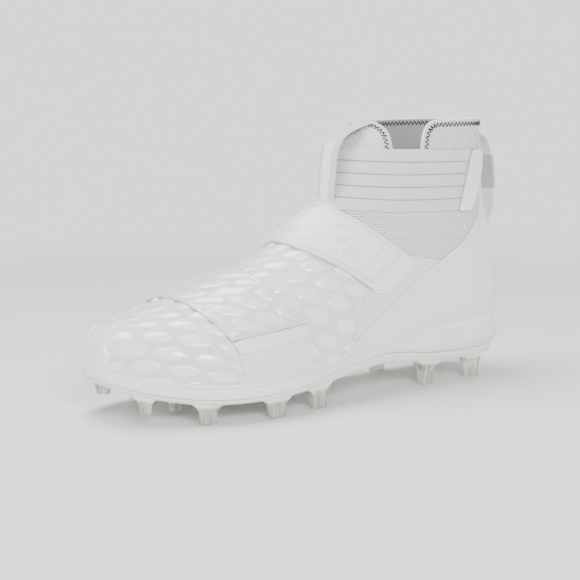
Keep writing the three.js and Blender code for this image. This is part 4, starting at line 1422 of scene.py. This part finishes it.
# Ankle strap with five ribs. Its ends slant: endX is where they lie, below and above.
ankle = {
    "ribs": 5,
    "thickness": 2.2,
    "low": 120.7,
    "high": 162.4,
    "endX": (62.6, 47.6),
    "endY": 37,
    "groove": 0.8,
    "colour": colour8(222, 221, 216),
    "line": colour8(140, 141, 140),
}


def strapAngle(u, v):
    return math.atan2(ankle["endY"], lerp(*ankle["endX"], v) - shaftMiddle) * u


def strapHeight(angle, v):
    front = math.exp(-((angle / math.radians(26)) ** 2))
    return lerp(ankle["low"] + 1.6 * front, ankle["high"] + 0.6 * front, v)


ribSteps = (0.0, 0.03, 0.07, 0.13, 0.25, 0.4, 0.6, 0.75, 0.87, 0.93, 0.97)
ribRows = [(rib + k) / ankle["ribs"] for rib in range(ankle["ribs"]) for k in ribSteps] + [1.0]


def ribNearness(v):
    return abs(v * ankle["ribs"] - round(v * ankle["ribs"]))


def ribLift(u, v):
    near = ribNearness(v)
    dip = math.exp(-((near / 0.045) ** 2)) * 0.75 + math.exp(-((near / 0.14) ** 2)) * 0.25
    if v < 0.02 or v > 0.98:
        dip *= 1.2
    return size["clearance"] + ankle["thickness"] - ankle["groove"] * dip


bandColumns = np.linspace(-1, 1, 181)
bandPoints, bandNormals = wrappedBand(bandColumns, ribRows, strapAngle, strapHeight, ribLift)
rowsCount, columnsCount = bandPoints.shape[:2]
bandRise = np.array(ribRows)[:, None] * 41.0
ribField = np.array([[math.exp(-((ribNearness(v) / 0.05) ** 2)) for _ in bandColumns] for v in ribRows])
ribField[0] = ribField[-1] = 0.4
bandSheet = {
    "points": bandPoints.reshape(-1, 3),
    "normals": bandNormals.reshape(-1, 3),
    "along": np.tile(runAlong(bandPoints[30]), (rowsCount, 1)).reshape(-1, 1),
    "across": np.tile(bandRise, (1, columnsCount)).reshape(-1, 1),
    "faces": gridQuads(rowsCount, columnsCount).tolist(),
    "rib": ribField.ravel(),
}
elastic, _ = sheetPiece("ankle_strap_elastic", bandSheet, (0.0, 0.3, 2.0), ["rib"])
elasticShade = Shader("ribbed_elastic", ankle["colour"], 0.85, Sheen_Weight=0.15)
weaveU, weaveV = elasticShade.uv(0)
weave = elasticShade.math("MULTIPLY", elasticShade.wave(weaveU, 0.9), elasticShade.wave(weaveV, 1.1))
elasticCloth = elasticShade.mix(
    elasticShade.mapped(weave, 0.2, 1.0, 0, 0.35),
    elasticShade.drift(ankle["colour"], 0.96, 0.04),
    tinted(ankle["colour"], 0.8),
)
ribLines = elasticShade.mapped(elasticShade.field("rib"), 0.35, 0.9)
elasticShade.set("Base Color", elasticShade.mix(ribLines, elasticCloth, ankle["line"]))
elasticShade.bump(weave, 0.12)
finishPiece(elastic, "elastic", elasticShade.material, "ankle_strap")
print("ankle strap made")

# Ankle strap tabs
ankleTab = {
    "outline": rounded(sideOutline([
        [0.072, 1, 0.688], [0.1475, 1, 0.69], [0.1955, 1, 0.068], [0.156, 1, 0.062],
    ]), 1, 0.06),
    "rim": (3.2, 0.4, 2.6),
    "colour": colour8(238, 237, 243),
}
ankleTabLeather = leather("ankle_tab_leather", ankleTab["colour"])
for side, reach in (("outer", (0.3, 1.0)), ("inner", (-1.0, -0.3))):
    tabGrid = overlayGrid(12.6, 16.2, (0.02, 0.005), *reach)
    outlines = (ankleTab["outline"], None) if side == "outer" else (None, ankleTab["outline"])
    tabDepth = outlineDepth(tabGrid, *outlines, 0.3)
    overlayPiece(
        f"ankle_tab_{side}", tabGrid, tabDepth, ankleTab["rim"],
        "ankle_tab", ankleTabLeather, [f"ankle_strap_tab_{side}"],
    )


def catmull(points, perSpan):
    points = np.asarray(points, float)
    made = []
    for i in range(len(points) - 1):
        p0, p1 = points[max(i - 1, 0)], points[i]
        p2, p3 = points[i + 1], points[min(i + 2, len(points) - 1)]
        for u in np.linspace(0, 1, perSpan, endpoint=False):
            squared = (2 * p0 - 5 * p1 + 4 * p2 - p3) * u**2
            cubed = (3 * p1 - p0 - 3 * p2 + p3) * u**3
            made.append(0.5 * (2 * p1 + (p2 - p0) * u + squared + cubed))
    made.append(points[-1])
    return np.array(made)


# A ribbon that follows a side-view line, with its width across the shoe and its middle raised
# outwards: towards the toe where facing is 1, towards the heel where it is -1.
ribbon = {"columns": 15, "thickness": 1.8, "crown": 0.4, "round": 0.45, "perSpan": 14}


def ribbonPiece(name, corners, width, facing):
    line = catmull(sideOutline(corners), ribbon["perSpan"])
    tangent = unit(np.gradient(line, axis=0))
    outward = np.stack([-tangent[:, 1], tangent[:, 0]], axis=1)
    if outward[len(outward) // 2, 0] * facing < 0:
        outward = -outward
    section = []
    for face in (1, -1):
        for a in np.linspace(-face, face, ribbon["columns"]):
            eased = ribbon["round"] if abs(a) == 1 else 0
            high = face * (ribbon["thickness"] / 2 - eased) - ribbon["crown"] * a * a
            section.append((a * width / 2, high))
    points, uv = [], []
    for place, out, run in zip(line, outward, runAlong(line)):
        for across, high in section:
            points.append((place[0] + out[0] * high, across, place[1] + out[1] * high))
            uv.append((run, across))
    n = len(section)
    faces = ringFaces(len(line), n, turned=True)
    faces += [list(range(n)), [(len(line) - 1) * n + k for k in range(n)][::-1]]
    return makeMesh(name, points, faces, np.array(uv) * mm)


# Woven band with a plain patch between two heights, which may be glossy. On the heel loop the patch is
# painted shade, grey for the loop's inner face in shadow.
def webbing(name, band):
    shade = Shader(name, band["colour"], 0.7, Sheen_Weight=0.15)
    u, v = shade.uv(0)
    weave = shade.math("MULTIPLY", shade.wave(u, 1.3), shade.wave(v, 1.0))
    _, across, up = shade.separated(shade.spot())
    height = shade.math("MULTIPLY", up, 1 / mm)
    aside = shade.math("ABSOLUTE", shade.math("MULTIPLY", across, 1 / mm))
    patch = 1.0
    edges = ((height, "low", (0, 1)), (height, "high", (1, 0)), (aside, "half", (1, 0)))
    for place, key, levels in edges:
        within = shade.mapped(place, band[key] - 0.3, band[key] + 0.3, *levels)
        patch = shade.math("MULTIPLY", patch, within)
    gloss = shade.math("MULTIPLY", patch, band["gloss"])
    woven = shade.mix(shade.mapped(weave, 0.0, 1.0, 0, 0.3), band["colour"], tinted(band["colour"], 0.85))
    shade.set("Base Color", shade.mix(patch, woven, band["patch"]))
    shade.set("Coat Weight", gloss)
    shade.surface.inputs["Coat Roughness"].default_value = 0.1
    shade.bump(shade.math("MULTIPLY", weave, shade.math("SUBTRACT", 1.0, gloss)), 0.15)
    return shade.material


loops = {
    "front": {
        "line": [
            [0.466, 1, 0.08], [0.463, 1, 0.24], [0.459, 1, 0.44], [0.4545, 1, 0.62], [0.448, 1, 0.735],
            [0.4345, 1, 0.822], [0.4115, 1, 0.885], [0.378, 1, 0.94], [0.345, 1, 0.965],
        ],
        "width": 18, "facing": 1, "colour": colour8(216, 217, 220),
        "low": 128, "high": 168, "half": 4.5, "patch": colour8(244, 244, 243), "gloss": 0.8,
    },
    "heel": {
        "line": [
            [0.085, 1, 0.89], [0.046, 1, 0.865], [0.016, 1, 0.78], [0.003, 1, 0.62], [-0.006, 1, 0.38],
            [-0.007, 1, 0.16], [-0.001, 0.98], [0.018, 0.87], [0.05, 0.82],
        ],
        "width": 20, "facing": -1, "colour": colour8(238, 237, 236),
        # The grey patch is painted shade on the loop's shaded inner face.
        "low": 132.5, "high": 157, "half": 30, "patch": colour8(186, 188, 192), "gloss": 0.0,
    },
}
for end, band in loops.items():
    bandMade = ribbonPiece(f"{end}_loop_webbing", band["line"], band["width"], band["facing"])
    finishPiece(bandMade, "loop_webbing", webbing(f"{end}_webbing", band), f"{end}_pull_loop")
print("pull loops made")

print("done")
